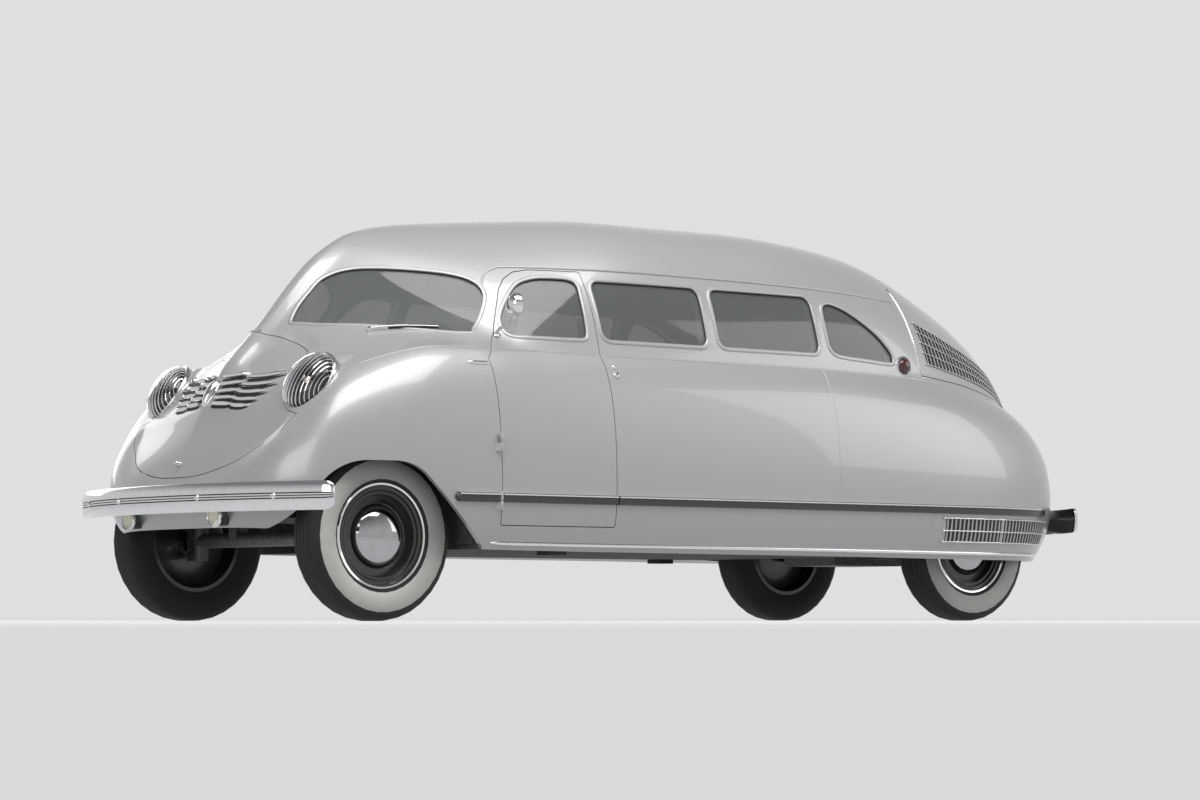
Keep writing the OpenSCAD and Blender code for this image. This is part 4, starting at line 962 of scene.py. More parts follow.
# Taper that rounds off both ends of a swept form
def ends(n, lo, count):
    t = np.ones(n)
    for k in range(count):
        t[k] = t[-1 - k] = lo + (1 - lo) * math.sqrt(max(0., 1 - (1 - k / count) ** 2))
    return t


def ball(b, centre, r, mat, axis=Z, seg=14):
    a = np.linspace(0, np.pi, 9)
    b.turn(np.stack([r * np.sin(a), -r * np.cos(a)], 1), seg, centre, axis, mat)


def tube(b, points, r, mat, seg, taper=None):
    p = np.asarray(points, float)
    t = unit(np.gradient(p, axis=0))
    ref = aside(t[0])
    n = [unit(ref - t[0] * (ref @ t[0]))]
    for k in range(1, len(p)):
        n.append(unit(n[-1] - t[k] * (n[-1] @ t[k])))
    b.add(*sweep(p, n, ring_profile(r, r, seg), taper=taper), mat)


# Belt line, drip rail and panel seams, pressed in the body's own metal
BELT_V, BELT_STEP = .998, 45
BELT_U = np.linspace(5.1, 13.4, 240)
BELT_X = surf(BELT_U, BELT_V)[:, 0]
DOOR_BELT = 1335.
DRIP = [[1215, 1424], [1186, 1475], [1135, 1508], [1060, 1521], [700, 1523], [200, 1523], [-300, 1519],
        [-800, 1508], [-1190, 1490]]
SEAMS = ((-542., 541, 1128, 30), (-1125., 300, 488, 14))
BELT_BEAD, DRIP_BEAD, SEAM_BEAD = dome(4.5, 2.2, 5), dome(6, 6, 6), dome(2.4, 1.3, 4)


def belt(b, front, rear, side):
    u = np.linspace(*np.interp([-front, -rear], -BELT_X, BELT_U), max(8, int((front - rear) / BELT_STEP)))
    swept = sweep(*on_skin(u, BELT_V), BELT_BEAD, taper=ends(len(u), .1, 2))
    b.add(*(swept if side > 0 else flip(swept)))
    return b


b = Build()
drip = curve(DRIP, 12)
lay(b, at_xz(*drip.T), DRIP_BEAD, taper=ends(len(drip), .2, 4))
for x, low, high, count in SEAMS:
    lay(b, at_xz(x, np.linspace(low, high, count)), SEAM_BEAD)
b.mirrored()
DOORS = (("driver", 1, DOOR_BELT, DRIVER_REAR), ("passenger", -1, PASSENGER_FRONT, PASSENGER_REAR))
for _, side, front, rear in DOORS:
    belt(b, BELT_X[0], front + GAP, side)
    belt(b, rear - GAP, BELT_X[-1], side)
b.piece("panel_beads", [PAINT], "van", "paint", angle=60)
for name, side, front, rear in DOORS:
    b = belt(Build(), front - GAP, rear + GAP, side)
    b.piece(name + "_belt_bead", [PAINT], name + "_door", "paint", angle=60)

# Rub rails: a bright top edge over a dark band, the chrome's dark reflection painted in near-black
RAIL = [(-20, -3), (-20, 7), (-17, 11), (-4, 13), (8, 13), (9.5, 13), (11, 17), (16, 18), (20, 14), (20, -3)]
RAIL_MAT = [1, 1, 1, 1, 1, 0, 0, 0, 0, 0]
RAIL_Z, RAIL_FRONT, RAIL_REAR, RAIL_STEP = 514., 1590, -1985, 40


def rail(b, x0, x1, knob=False):
    n = max(10, int(abs(x1 - x0) / RAIL_STEP))
    p, out = at_xz(np.linspace(x0, x1, n), RAIL_Z, (6.0, 14.4))
    b.add(*sweep(p, out, RAIL), RAIL_MAT * (n - 1) + [1, 1])
    if knob:
        ball(b, p[0] + out[0] * 2, 15, 1, out[0])
    return b


left, right = [
    rail(rail(Build(), RAIL_FRONT, front + GAP, knob=True), rear - GAP, RAIL_REAR)
    for front, rear in ((DRIVER_FRONT, DRIVER_REAR), (PASSENGER_FRONT, PASSENGER_REAR))]
left.add(*flip(right.data()))
left.piece("rub_rail_strips", [CHROME, RAIL_DARK_REFLECTION], "van", "chrome", ("rub_rails",))
b = rail(Build(), DRIVER_FRONT - GAP, DRIVER_REAR + GAP)
b.piece("driver_rail_strip", [CHROME, RAIL_DARK_REFLECTION], "driver_door", "chrome", ("driver_door_rail",))
b = Build().add(*flip(rail(Build(), PASSENGER_FRONT - GAP, PASSENGER_REAR + GAP).data()))
b.piece("passenger_rail_strip", [CHROME, RAIL_DARK_REFLECTION], "passenger_door", "chrome",
        ("passenger_door_rail",))

# Sill strips
b = Build()
lay(b, on_skin(np.linspace(7.25, 14.8, 90), .035), dome(9, 8, 7), taper=ends(90, .15, 3))
b.mirrored().piece("sill_strip_pair", [CHROME], "van", "chrome", ("sill_strips",), 50)


SHADE_PANEL_LIFT, ROD_LIFT, POST_WIDER = .8, 4, 2.2


# Grilles: ribs on a black panel of painted shade where the openings are, crossed by rods with a ball at the
# front end
def grille(b, u0, u1, levels, pitch, rib, rod_r, ball_r, post=None):
    low, high = levels[0], levels[-1]
    uf = np.linspace(u0, u1, 60)
    run = lengths(on_skin(uf, (low + high) / 2)[0])
    count = int(run[-1] / pitch)
    wide = None if post is None else int(count * post)
    nu, nv = 40, 8
    uu, vv = np.meshgrid(np.linspace(u0 + .01, u1, nu), np.linspace(low, high, nv), indexing="ij")
    p, n = on_skin(uu, vv)
    # Black panel of painted shade, standing in for the grille's openings
    b.add(p + n * SHADE_PANEL_LIFT, quads(nu, nv, around=False), 1)
    for k, u in enumerate(np.interp((np.arange(count) + .5) / count * run[-1], run, uf)):
        w = rib * (POST_WIDER if k == wide else 1)
        profile = [(-w, -1), (-w, 1.8), (-w * .4, 3), (w * .4, 3), (w, 1.8), (w, -1)]
        for lo, hi in zip(levels[:-1], levels[1:]):
            lay(b, on_skin(u, np.linspace(lo, hi, 5)), profile, 2)
    for level in levels:
        p, n = on_skin(np.linspace(u0 - .02, u1, 40), level)
        tube(b, p + n * ROD_LIFT, rod_r, 0, 8)
        ball(b, p[0] + n[0] * ROD_LIFT, ball_r, 0)
    return b.mirrored()


b = grille(Build(), 12.12, 14.36, [.10, .16, .222], 27, 5, 3.2, 7., post=.47)
b.piece("corner_vent_pair", [CHROME, BLACK_AND_SHADE, PAINT], "van", "chrome", ("corner_vents",), 45)
b = grille(Build(), 12.30, 15.1, [1.075, 1.127, 1.179, 1.231, 1.283], 30, 3., 2.6, 5.)
b.piece("deck_grille_pair", [CHROME, BLACK_AND_SHADE, PAINT], "engine_lid", "chrome", ("deck_grille",), 45)

# Bright strip in front of the engine lid
STRIP_X, STRIP_FOOT = -1227, 1131
DECK_ROWS = (11, 13.5)
b = Build()
lay(b, at_xz(-1226., np.linspace(1146, 1560, 30), DECK_ROWS), dome(5, 5, 6))
xs = np.linspace(STRIP_X, -1275, 6)
lay(b, at_xz(xs, STRIP_FOOT - (np.abs(xs) + STRIP_X) * .06, DECK_ROWS), dome(4, 4, 6))
b.mirrored().piece("deck_strip_pair", [CHROME], "van", "chrome", angle=50)

# Nose bars, inner and outer tiers, each over a black strip of painted shadow, and the oval boss between them
INNER = [[4.73, 1.955, 4.85, 1.73], [4.54, 1.95, 4.63, 1.72], [4.36, 1.94, 4.42, 1.71],
         [4.18, 1.93, 4.21, 1.70], [4.00, 1.92, 4.00, 1.69]]
OUTER = [[4.74, 1.76, 4.90, 1.42], [4.55, 1.75, 4.66, 1.42], [4.36, 1.74, 4.44, 1.44],
         [4.16, 1.73, 4.22, 1.47], [3.97, 1.72, 4.00, 1.51]]
BAR = [(-9, -3), (-9, 6), (-4, 13), (3, 15), (8, 10), (9, -3)]
BAR_SHADOW = [(-8, -1), (-8, 1.5), (8, 1.5), (8, -1)]
SHADOW_BELOW = .09
BAR_TAPER = [.55, .85] + [1] * 7 + [.85, .65, .42, .12]
KNOB = [(0, -6), (13, -6), (13, 6), (10, 10), (10, 18), (7, 23), (0, 25)]
b = Build()
f = np.linspace(0, 1, len(BAR_TAPER))
for tier, sag, rise in ((INNER, .02, 4), (OUTER, .05, 0)):
    for u0, v0, u1, v1 in tier:
        u = u0 + (u1 - u0) * f - sag * np.sin(np.pi * f)
        v = v0 + (v1 - v0) * f
        lay(b, on_skin(u, v), BAR, 0, taper=BAR_TAPER, lift=rise)
        # A black strip of painted shadow just below each bar
        lay(b, on_skin(u - SHADOW_BELOW, v), BAR_SHADOW, 1, taper=BAR_TAPER)
b.mirrored()
places = on_skin(np.linspace(4.66, 3.88, 22), 2.)
oval = np.sin(np.pi * np.linspace(0, 1, 22) ** .72) ** .6
oval[[0, -1]] = .05
lay(b, places, dome(26, 27, 13, 3), 0, taper=oval)
lay(b, places, dome(35, 12, 11, 3), 0, taper=oval)
b.piece("nose_bars", [CHROME, BLACK_AND_SHADE], "nose_lid", "chrome", ("nose_grille",), 50)
p, n = on_skin(*locate([[0., 655.]], PROJ_FRONT, (0.5, 5)))
Build().turn(KNOB, 24, p[0], n[0]).piece("nose_knob", [CHROME], "nose_lid", "chrome", angle=35)


# Headlamps: chrome flutes over a black dome of painted shade, in a collar that is deepest on its upper outer
# side
def lamp_ring(grow, z):
    return lamp_point((LAMP_H + grow) * np.cos(LAMP_T), (LAMP_W + grow) * np.sin(LAMP_T),
                      np.broadcast_to(z, LAMP_T.shape))


def dome_ring(a):
    return lamp_point(LAMP_H * .96 * math.cos(a) * np.cos(LAMP_T),
                      LAMP_W * .96 * math.cos(a) * np.sin(LAMP_T),
                      np.full(LAMP_T.shape, LAMP_D * .9 * math.sin(a)))


def lofted(loops, shut=False):
    n, c = len(loops), len(loops[0])
    return np.concatenate(loops), quads(n, c) + ([caps(n, c)[1][::-1]] if shut else [])


DEEP = 6 + 38 * (.5 + .5 * np.cos(LAMP_T - .7 * np.pi)) ** 1.3
COLLAR = [(-4, -30), (-4, 3), (0, 7), (6, 8), (LAMP_RIM - 2, 6), (LAMP_RIM, 1), (LAMP_RIM, -DEEP),
          (LAMP_RIM - 6, -DEEP - 8)]
FLUTE = [(-3.4, -6), (-3.6, 0), (-1.8, 3.6), (1.8, 3.6), (3.6, 0), (3.4, -6)]
FLUTES, SPREAD = 15, math.radians(76)
b = Build().add(*lofted([lamp_ring(grow, z) for grow, z in COLLAR]))
a = np.linspace(-1, 1, 25) * math.pi / 2
for k in range(FLUTES):
    y = math.sin(SPREAD * (2 * (k + .5) / FLUTES - 1))
    ring = math.sqrt(1 - y * y)
    x = ring * np.sin(a)
    p = lamp_point(LAMP_H * x, np.full(25, LAMP_W * y), LAMP_D * ring * np.cos(a))
    n = np.outer(x / LAMP_H, LAMP_X) + (y / LAMP_W) * LAMP_Y
    b.add(*sweep(p, n + np.outer(ring * np.cos(a) / LAMP_D, LAMP_Z), FLUTE))
b.mirrored().piece("headlamp_flutes", [CHROME], "van", "chrome", ("headlamp_grilles",), 50)

# Domes and reflectors of the headlamps, fog lamps and tail lamps; the headlamp domes are black as painted
# shade
FOG = [(0, -98), (38, -96), (40, -60), (42, -14), (47, -10), (48, 0), (45, 5), (42, 3)]
FOG_R = 42
LENS_RINGS = [(r, 4 + 7 * (1 - (r / FOG_R) ** 2) + (1.6 if i % 2 else 0))
              for i, r in enumerate(np.linspace(40, 2, 15))]
TAIL = [(0, -44), (40, -44), (44, 10), (47, 24), (47, 30), (40, 34), (37, 31)]
TAIL_GLASS = [(37, 31), (36, 36), (30, 43), (20, 48), (9, 50), (0, 50.5)]
domes = [dome_ring(a) for a in np.radians([2, 15, 30, 45, 60, 75, 86])]
b = Build().add(*lofted([lamp_ring(-2, -2)] + domes, True))
for r in (20., 12.):
    ball(b, lamp_point(18., 52., LAMP_D * .60), r, 1, LAMP_Z)
b.turn(FOG, 40, FOG_C, X, [3, 3, 3, 4, 4, 4, 4])
b.turn([(FOG_R, 3)] + LENS_RINGS + [(0, 11)], 40, FOG_C, X, 2)
b.turn([(41, 1), (0, -18)], 40, FOG_C, X, 1)
b.turn(TAIL, 40, TAIL_C, Y, 4)
b.turn(TAIL_GLASS, 40, TAIL_C, Y, 5)
b.mirrored()
b.piece("lamp_set", [DOME_SHADE, REFLECT, LENS, UNDER, CHROME, RED], "van", "lamp_glass", ("lamps",))

# Nacelles faired back into the fenders
NACELLE_END = np.array([.372, .700, .590]) * SCALE
loops = [lamp_ring(LAMP_RIM - 8, -DEEP + 4), lamp_ring(LAMP_RIM - 1, -DEEP - 1)]
start = loops[-1] - LAMP_C
for s in np.linspace(.06, .99, 14):
    loops.append(LAMP_C + (NACELLE_END - LAMP_C) * s + start * (1 - s ** 1.9) ** .8)
b = Build().add(*lofted(loops, True)).mirrored()
b.piece("headlamp_nacelles", [PAINT], "van", "paint", angle=60)

# Bumpers: a crowned blade with three fine grooves, their faces black as painted shade, on two irons
BLADE_H, BLADE_BACK = 59, 12
GROOVES = [-12, -9, -1.5, 1.5, 9, 12]
BLADE_Z = [-59, -57, -50, -38, -24, -13, -12, -9, -8, -2, -1.5, 1.5, 2, 8, 9, 12, 13, 24, 38, 50, 57, 59]
BLADE = [(z, 13 + 6 * (1 - (z / BLADE_H) ** 2) - 9 * (abs(z) / BLADE_H) ** 6 - (3.5 if z in GROOVES else 0))
         for z in BLADE_Z] + [(58, -6), (40, -3), (0, 0), (-40, -3), (-58, -6)]
# Faces inside the grooves take the near-black as painted shade
BLADE_GROOVE_SHADE = [int(a in GROOVES and c in GROOVES) for a, c in zip(BLADE_Z, BLADE_Z[1:])] + [0] * 6
BLADE_TIP = [.965, .98, .99, .997, 1]
TIP_FROM, TIP_LENGTH, TIP_TALL = .955, .045, .58
BOLTS_AT, IRONS_AT = (-.737, -.316, .316, .737), (-304, 304)
BOLT = [(0, 8), (12, 14), (13, 19), (9, 25), (0, 27)]
IRON = [(-22, -20), (-24, 0), (-22, 20), (22, 20), (24, 0), (22, -20)]


def bumper(end, sign, reach, bow, z0):
    def at(t):
        x = LENGTH / 2 - BLADE_BACK - bow * LENGTH * abs(t) ** 2.2
        slope = -bow * LENGTH * 2.2 * abs(t) ** 1.2 / reach * np.sign(t)
        return x, unit([1, -slope, 0])

    b = Build()
    ts = np.concatenate([[-t for t in BLADE_TIP[::-1]], np.linspace(-.95, .95, 61), BLADE_TIP])
    rows = []
    for t in ts:
        x, n = at(t)
        k = max(0, (abs(t) - TIP_FROM) / TIP_LENGTH)
        tall = math.sqrt(max(0, 1 - k ** 2)) * (1 - TIP_TALL) + TIP_TALL
        thick = 1 - .5 * k ** 2
        rows += [[sign * (x + n[0] * (o * thick)), reach * t + n[1] * o * thick, z0 + z * tall]
                 for z, o in BLADE]
    c = len(BLADE)
    f = [q[::sign] for q in quads(len(ts), c)] + caps(len(ts), c)
    b.add(rows, f, BLADE_GROOVE_SHADE * (len(ts) - 1) + [0, 0])
    for t in BOLTS_AT:
        x, n = at(t)
        b.turn(BOLT, 18, (sign * x, reach * t, z0), n * [sign, 1, 1])
    for y in IRONS_AT:
        xs = np.linspace(LENGTH / 2 - 24, LENGTH / 2 - 185, 8)
        p = np.stack([sign * xs, np.full(8, y), z0 - 6 * np.sin(np.linspace(0, np.pi, 8))], 1)
        b.add(*sweep(p, np.tile(Z, (8, 1)), IRON), 2)
    b.piece(end + "_bumper_blade", [CHROME, BLACK_AND_SHADE, UNDER], "van", "chrome", (end + "_bumper",), 35)


bumper("front", 1, 963, .046, 505.)
bumper("rear", -1, 799.5, .06, 482.)

# Wheels
TYRE = [(222, -66), (270, -81), (318, -79), (340, -68), (347, -54), (349, -40), (342, -38), (349, -36),
        (350, -14), (343, -12), (350, -10), (350, 10), (343, 12), (350, 14), (349, 36), (342, 38),
        (349, 40), (347, 54), (340, 68), (313, 80), (270, 82.5), (233, 76), (222, 66)]
TYRE_MAT = [0] * 19 + [1, 1, 0]
TYRE_SCALE = np.array([TYRE_R / 350, 1])
WHEEL_P = [(56, -39.6), (56, 5), (140, 20), (190, 8), (205, -66), (222, -66), (222, 66), (217, 71),
           (209, 69), (205, 58), (199, 55), (196, 61), (190, 61), (187, 51), (182, 47), (179, 54),
           (173, 54), (170, 42), (165, 30), (150, 33), (136, 38), (128, 34), (125, 30), (123, 44),
           (117, 56), (104, 68), (82, 79), (55, 87), (28, 91), (0, 92)]
WHEEL_MAT = [0] * 6 + [1, 1] + [0] * 2 + [1] + [0] * 3 + [1] + [0] * 8 + [2] * 6
TURNED = (("tyre", np.array(TYRE) * TYRE_SCALE, 34, [TREAD, WHITE], TYRE_MAT, 42),
          ("wheel", WHEEL_P, 64, [WHEEL, CHROME, HUBCAP], WHEEL_MAT, 32))
for side, sy in (("left", 1), ("right", -1)):
    for end, x, y in (("front", FRONT_X, FRONT_Y), ("rear", REAR_X, REAR_Y)):
        corner = f"{end}_{side}"
        for kind, profile, seg, mats, marks, angle in TURNED:
            v, f, m = lathe(profile, seg, (x, sy * y, TYRE_R), Y * sy, marks)
            node_name = f"{kind}_{corner}"
            piece(node_name + "_fine", mesh(kind, v, f, mats, m), corner + "_wheel",
                  (node_name,), angle)

# Mirror on a curved arm
MIRROR_FOOT = [(0, -4), (13, -4), (17, 3), (12, 7), (0, 9)]
MIRROR_HEAD = [(0, -6), (45, -6), (48, -3), (48, 3), (45, 14), (36, 27), (22, 35), (0, 39)]
(foot,), (out,) = at_xz([1257.], [1206.], (6.3, 9))
head = np.array([.2535, .945, .738]) * SCALE
arm = curve([foot - out * 4, foot + out * 26 + [0, 0, 4], foot * .45 + head * .55 + [0, 26, -14],
             head + [4, 0, -30], head + [8, 0, 0]], 8)
b = Build()
tube(b, arm, 6.5, 0, 12, taper=np.linspace(1.25, .85, len(arm)))
b.turn(MIRROR_FOOT, 24, foot, out)
b.turn(MIRROR_HEAD, 40, head, X, [1, 0, 0, 0, 0, 0, 0])
b.piece("mirror_round", [CHROME, GLINT], "driver_door", "chrome", ("door_mirror",))

# Wipers, fender bars, and the push and lock buttons beside the doors
WIPER_PIVOT, WIPER_TIP = np.array([1723, 466, 1219]), np.array([1478, 613, 1233])
SPINDLE = [(0, -4), (11, -4), (11, 10), (8, 16), (0, 18)]
WIPER_BLADE = [(-3.5, -3), (-2, 9), (2, 9), (3.5, -3)]
PUSH = [(0, -4), (13, -4), (14, 3), (10, 7), (9, 11), (0, 13)]
LOCK = [(0, -4), (9, -4), (10, 3), (7, 6), (0, 7)]
p, n = on_skin(*locate([WIPER_PIVOT @ PANE_PROJ.T], PANE_PROJ, (5, 8)))
b = Build().turn(SPINDLE, 20, p[0], n[0])
w = np.linspace(0, 1, 12)[:, None]
wiper = WIPER_PIVOT * (1 - w) + WIPER_TIP * w
p, n = on_skin(*locate(wiper @ PANE_PROJ.T, PANE_PROJ, (5, 8.6)))
tube(b, (p + n * 13)[:7], 4, 0, 8)
b.add(*sweep((p + n * 5)[3:], n[3:], WIPER_BLADE), 1)
b.add(*sweep((p + n * 12)[3:], n[3:], ring_profile(4, 3, 8)), 0)
lay(b, at_xz(np.linspace(1487, 1374, 12), 1078., (6, 8.6)), dome(9, 9, 8), taper=ends(12, .2, 2))
b.mirrored()
p, n = at_xz([704., 706.], [1089., 1054.])
b.turn(PUSH, 24, p[1], n[1])
b.turn(LOCK, 24, p[0], n[0])
p, n = at_xz([44.], [1089.])
b.add(*flip(lathe(PUSH, 24, p[0], n[0], 0)))
b.piece("small_brightwork", [CHROME, RUBBER], "van", "chrome", angle=45)

# Hinges: barrels with short straps into the panels
LEAF, LEAF_GAP, BARREL_R = 40, .3, 7.5
BARREL = [(0, 0), (BARREL_R * .8, 1), (BARREL_R, 4), (BARREL_R, LEAF - 4), (BARREL_R * .8, LEAF - 1),
          (0, LEAF)]
STRAP = [(-4, -LEAF * .42), (-4, LEAF * .42), (4, LEAF * .42), (4, -LEAF * .42)]


def barrel(b, base, axis, strap):
    b.turn(BARREL, 22, base, axis)
    mid = np.asarray(base, float) + axis * LEAF / 2
    p = np.stack([mid + unit(strap) * d for d in (2, 14, 30)])
    b.add(*sweep(p, np.tile(axis, (3, 1)), STRAP, taper=[1, 1, .8]))


HINGE_Y, HINGE_LEVELS = 927.8, (459., 702.)
ENGINE_HINGE = np.array([-.2465, 0, .961]) * SCALE
fixed = Build()
for x, sy, name in ((1376.1, 1, "driver"), (761.8, -1, "passenger")):
    leaf = Build()
    for z in HINGE_LEVELS:
        barrel(fixed, (x, sy * HINGE_Y, z), Z, (1, -.9 * sy, 0))
        barrel(leaf, (x, sy * HINGE_Y, z + LEAF + LEAF_GAP), Z, (-1, -.9 * sy, 0))
    leaf.piece(name + "_hinge_straps", [PAINT], name + "_door", "paint", (name + "_door_leaves",))
for centre, name, strap in ((NOSE_HINGE, "nose", (.3, 0, -.9)), (ENGINE_HINGE, "engine", (-.9, 0, -.5))):
    leaf = Build()
    barrel(fixed, centre + [0, .2, 0], Y, (-strap[0] * 1.2, 0, -.6))
    barrel(leaf, centre + [0, -LEAF - .2, 0], Y, strap)
    leaf.piece(name + "_hinge_strap", [PAINT], name + "_lid", "paint", (name + "_lid_leaf",))
fixed.piece("hinge_barrels", [PAINT], "van", "paint", ("hinge_pins",))


# Padded seats: rounded blocks, crowned on the face along ax, between stitched channels
def pad(lo, hi, crown, channels, ax, n, r=28.):
    lo, hi = np.asarray(lo, float), np.asarray(hi, float)
    half, mid = (hi - lo) / 2, (hi + lo) / 2
    index, verts, faces = {}, [], []

    def vert(key):
        if key not in index:
            index[key] = len(verts)
            verts.append([2 * key[a] / n[a] - 1 for a in range(3)])
        return index[key]
    for a in range(3):
        e, g = (a + 1) % 3, (a + 2) % 3
        for side in (0, n[a]):
            for i in range(n[e]):
                for j in range(n[g]):
                    quad = []
                    for di, dj in ((0, 0), (1, 0), (1, 1), (0, 1)):
                        key = [0, 0, 0]
                        key[a], key[e], key[g] = side, i + di, j + dj
                        quad.append(vert(tuple(key)))
                    faces.append(quad if side else quad[::-1])
    s = np.array(verts)
    p = s * half
    core = np.clip(p, -(half - r), half - r)
    d = p - core
    ln = np.linalg.norm(d, axis=1, keepdims=True)
    p = np.where(ln > 1e-6, core + d / np.maximum(ln, 1e-6) * np.minimum(ln, r), p)
    bow = np.prod([1 - s[:, k] ** 2 for k in range(3) if k != ax], axis=0)
    across = s[:, 1]
    w = (across + 1) / 2 * channels
    edge = np.abs(w - np.round(w))
    groove = np.exp(-(edge / .10) ** 2) * (np.abs(across) < .97)
    swell = np.sin(np.pi * np.clip(edge * 2, 0, 1) / 2)
    lift = crown * bow + 7 * swell * np.sqrt(np.clip(bow, 0, 1)) - 9 * groove * np.clip(bow * 3, 0, 1)
    p[:, ax] += np.clip(s[:, ax], 0, 1) * lift
    return p + mid, faces


def edging(lo, hi, ax, at, r=28.):
    i, j = [k for k in range(3) if k != ax]
    face = [[lo[i], lo[j]], [hi[i], lo[j]], [hi[i], hi[j]], [lo[i], hi[j]]]
    poly = resample(rounded_poly(face, r, 3), 25)
    p = np.insert(poly, ax, at, axis=1)
    return sweep(p, np.tile(np.eye(3)[ax], (len(p), 1)), ring_profile(5, 5, 6), closed=True)


def lean_back(v, pivot, deg):
    a = math.radians(-deg)
    d = v - pivot
    out = d.copy()
    out[:, 0] = d[:, 0] * math.cos(a) + d[:, 2] * math.sin(a)
    out[:, 2] = -d[:, 0] * math.sin(a) + d[:, 2] * math.cos(a)
    return out + pivot


# A pad with piping round its face, leant back about a pivot if there is one
def cushion(b, lo, hi, crown, channels, ax, n, at, pivot=None, lean=12):
    for (v, f), mat in ((pad(lo, hi, crown, channels, ax, n), 0), (edging(lo, hi, ax, at), 1)):
        b.add(v if pivot is None else lean_back(v, pivot, lean), f, mat)


FLOOR_TOP = .1667 * ROOF + 40
SEAT_TOP = FLOOR_TOP + .1944 * ROOF
BACK_TOP = SEAT_TOP + .2667 * ROOF
SEATS_AT, LEGS_AT = (-400.2, 400.2), np.array([-170, 170])
cushions, frames = Build(), Build()
for y in SEATS_AT:
    cushion(cushions, (538, y - 258, SEAT_TOP - 130), (1016, y + 258, SEAT_TOP - 14), 16, 6, 2,
            (22, 22, 8), SEAT_TOP - 26)
    cushion(cushions, (540, y - 256, SEAT_TOP - 128), (636, y + 256, BACK_TOP - 4), 12, 6, 0,
            (8, 22, 22), 628, np.array([648, y, SEAT_TOP - 130]))
    legs = y + LEGS_AT
    for x in (610, 940):
        for leg in legs:
            tube(frames, [(x, leg, FLOOR_TOP), (x, leg, FLOOR_TOP + 110), (x + 6, leg, SEAT_TOP - 128)],
                 14, 0, 12)
    for leg in legs:
        for xs, z in (((600, 780, 950), FLOOR_TOP + 8), ((560, 780, 1000), SEAT_TOP - 138)):
            tube(frames, [(x, leg, z) for x in xs], 12, 0, 10)
ob = cushions.piece("front_seat_pads", [LEATHER, PIPING], "van", "leather", ("front_seats",), 60)
frames.piece("front_seat_frames", [CHROME], "van", "chrome", ("front_seats",))
SOFA_X, SOFA_HALF = -.2330 * LENGTH, 618
sofa = Build()
cushion(sofa, (SOFA_X + 150, -SOFA_HALF, SEAT_TOP - 150), (SOFA_X + 558, SOFA_HALF, SEAT_TOP - 16),
        16, 12, 2, (20, 48, 8), SEAT_TOP - 28)
cushion(sofa, (SOFA_X + 4, -SOFA_HALF, SEAT_TOP - 60), (SOFA_X + 152, SOFA_HALF, BACK_TOP - 4),
        12, 12, 0, (8, 48, 20), SOFA_X + 142)
sofa.add(*pad((SOFA_X + 4, -612, FLOOR_TOP), (SOFA_X + 540, 612, SEAT_TOP - 140), 0, 4, 0, (8, 24, 8), r=14))
ob = sofa.piece("sofa_pads", [LEATHER, PIPING], "van", "leather", ("rear_sofa",), 60)

# Dashboard with two dials and a bright strip
x1 = .29 * LENGTH
x0 = x1 - .0191 * LENGTH
z0, z1 = .588 * ROOF, .635 * ROOF
dial_z = (z0 + z1) / 2 - 4
DASH_HALF, DIALS_AT = 716, (330, 470)
section = [[x0, z0 + 14], [x0 + 12, z0], [x1, z0], [x1, z1], [x0 + 34, z1], [x0 + 4, z1 - 26]]
prof = rounded_poly(section, 14)
ys = np.linspace(-DASH_HALF, DASH_HALF, 30)
rows = [[x, y, z] for y in ys for x, z in prof]
b = Build().add(rows, quads(len(ys), len(prof)) + caps(len(ys), len(prof)))
for y in DIALS_AT:
    rim = [(40, 6), (42, 2), (40, -6), (36, -7), (35, -2), (0, -2)]
    b.turn(rim, 32, (x0 + 2, y, dial_z), -X, [1, 1, 1, 1, 2])
    tube(b, [(x0 - 1, y + d, dial_z + d) for d in (0, 12, 24)], 1.6, 3, 6)
tube(b, [(x0 + 1, y, z0 + 16) for y in (-690, 0, 690)], 4, 1, 8)
b.piece("dash_panel", [DASH, CHROME, DIAL, BLACK_AND_SHADE], "van", "trim", ("dashboard",))

# Steering wheel
RIM_R, RIM_T, RIM_LIFT = 192, 12.5, 19.5
HUB = [(10.2, 0), (30, 0), (31, 30), (24, 38), (22, 41), (0, 44)]
c = np.array([.2503, .435, .611]) * SCALE
rake = math.radians(40)
ax = np.array([-math.cos(rake), 0, math.sin(rake)])
turns = np.append(np.linspace(0, 2 * np.pi, 13)[:-1], 0)
b = Build().turn([(RIM_R + RIM_T * math.cos(q), RIM_LIFT + RIM_T * math.sin(q)) for q in turns], 64, c, ax)
b.turn(HUB, 36, c, ax, [0, 0, 0, 1, 1])
e1 = unit(np.cross(Y, ax))
e2 = np.cross(ax, e1)
for a in np.radians([90, 210, 330]):
    d = math.cos(a) * -e1 + math.sin(a) * e2
    for off in (-6, 0, 6):
        w = np.cross(ax, d) * off
        spoke = [c + ax * rise + d * far + w for rise, far in ((24, 22), (22, 110), (RIM_LIFT, 184))]
        tube(b, spoke, 2.6, 1, 8)
b.piece("steering_wheel_fine", [EBONY, CHROME], "steering_wheel", "black_rim", ("steering_wheel",))

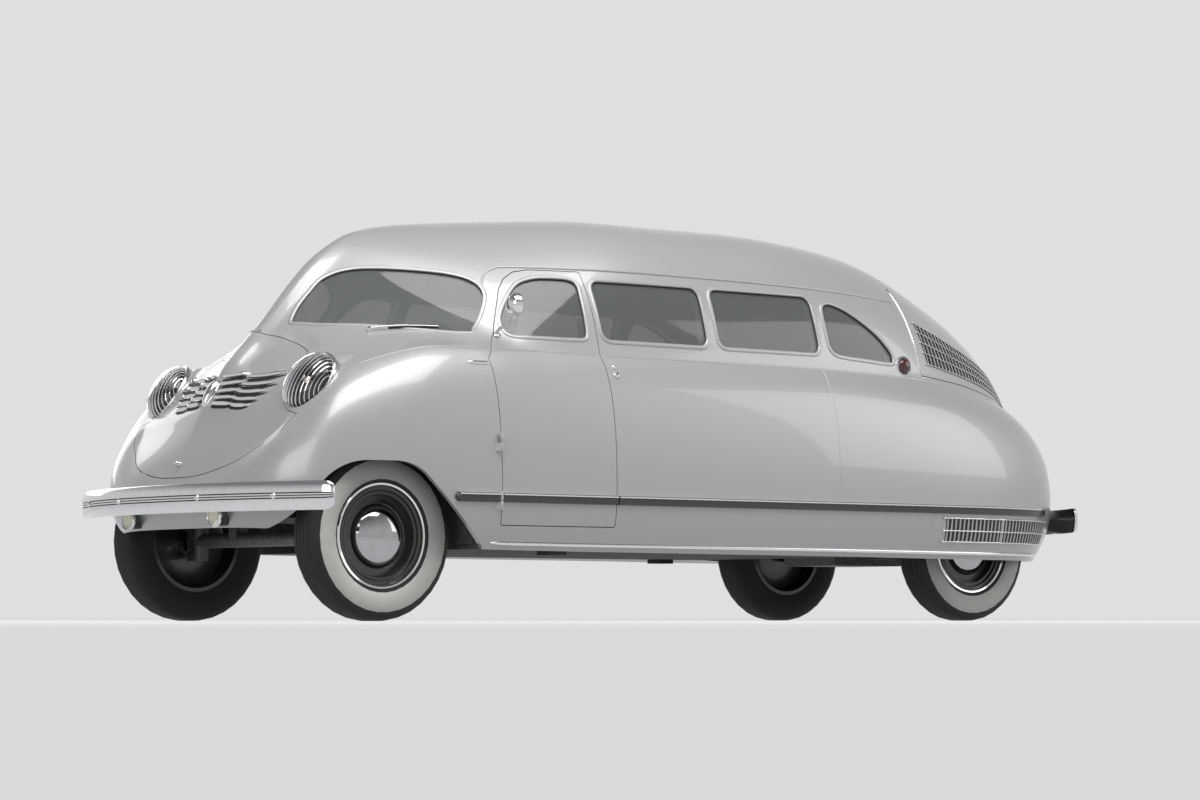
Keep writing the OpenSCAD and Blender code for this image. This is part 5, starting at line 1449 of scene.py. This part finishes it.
# Engine: a vee block with alloy heads, an air cleaner, pulleys and a belt, inside the plain block's box
lo, hi = np.array(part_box("engine")) * METRE
ENGINE_X, ENGINE_LOW = (lo[0] + hi[0]) / 2, lo[2]
PULLEY_X, BANK_ENDS = lo[0] + 42, np.array([lo[0] + 60, hi[0] - 14])
INWARD = np.array([1, -1])
UP = np.array([0, ENGINE_LOW])
BLOCK = [(0, 285), (70, 300), (178, 394), (262, 310), (168, 190), (158, 26), (130, 0)]
HEAD = [(262, 310), (270, 318), (291, 338), (290, 344), (212, 422), (206, 423), (186, 402), (178, 394)]
VALLEY = [(-92, 290), (92, 290), (104, 372), (70, 404), (-70, 404), (-104, 372)]
AIR_CLEANER = (
    ([(0, 400), (62, 400), (62, 412), (44, 420), (44, 470), (0, 470)], 1),
    ([(0, 466), (118, 466), (136, 474), (140, 484), (140, 536), (134, 548), (112, 556), (60, 561),
      (0, 562)], 3),
    ([(0, 560), (9, 560), (9, 574), (5, 577), (0, 577)], 4))
PULLEY = [(0, -32), (26, -32), (30, -22), (62, -18), (76, -20), (70, -9), (76, 2), (40, 4), (40, 12),
          (0, 12)]
vee = BLOCK[::-1] + [(-y, z) for y, z in BLOCK[1:]]
b = Build().add(*prism(np.array(vee) + UP, Y, Z, X, lo[0] + 44, hi[0]))
b.add(*prism(np.array(HEAD) + UP, Y, Z, X, *BANK_ENDS), 1)
for x in np.linspace(*(BANK_ENDS + INWARD * 24), 6):
    for y, z in ((276, 357), (251, 382), (226, 407)):
        ball(b, (x, y, z + ENGINE_LOW), 9, 4, (0, 1, 1), 6)
lead_t = np.linspace(0, 1, 9)
for x in np.linspace(*(BANK_ENDS + INWARD * 45), 4):
    lead_z = 440 + ENGINE_LOW - 55 * lead_t ** 2 + 25 * np.sin(np.pi * lead_t)
    tube(b, np.stack([ENGINE_X + (x - ENGINE_X) * lead_t ** .5, 60 + 190 * lead_t, lead_z], 1), 4.5, 2, 8)
    tube(b, [(x, y, z + ENGINE_LOW) for y, z in ((230, 270), (258, 262), (270, 240))], 19, 0, 12)
tube(b, [(x, 270, 236 + ENGINE_LOW) for x in np.linspace(*BANK_ENDS, 6)], 23, 0, 14)
b.mirrored()
b.add(*prism(VALLEY, Y, Z, X, *(BANK_ENDS + INWARD * 20), (0, 0, ENGINE_LOW)), 1)
for profile, mat in AIR_CLEANER:
    b.turn(profile, 40, (ENGINE_X, 0, ENGINE_LOW), Z, mat)
pulleys_z = (ENGINE_LOW + 120, ENGINE_LOW + 345)
for z in pulleys_z:
    b.turn(PULLEY, 40, (PULLEY_X, 0, z), X)
path = np.insert(rounded_hull([[0, z] for z in pulleys_z], 74, 24.), 0, PULLEY_X - 9, axis=1)
b.add(*sweep(path, np.tile(X, (len(path), 1)), [(-4, -6), (-4, 6), (4, 6), (4, -6)], closed=True), 2)
b.piece("engine_dressed", [CAST, ALLOY, RUBBER, DASH, CHROME], "van", "castings", ("engine",))

# Nodes that show as they are built
BARE = {"floor_pan": UNDER, "steering_column": EBONY}
for name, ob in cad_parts.items():
    ob.data.materials.clear()
    ob.data.materials.append(BARE.get(name, CAST))
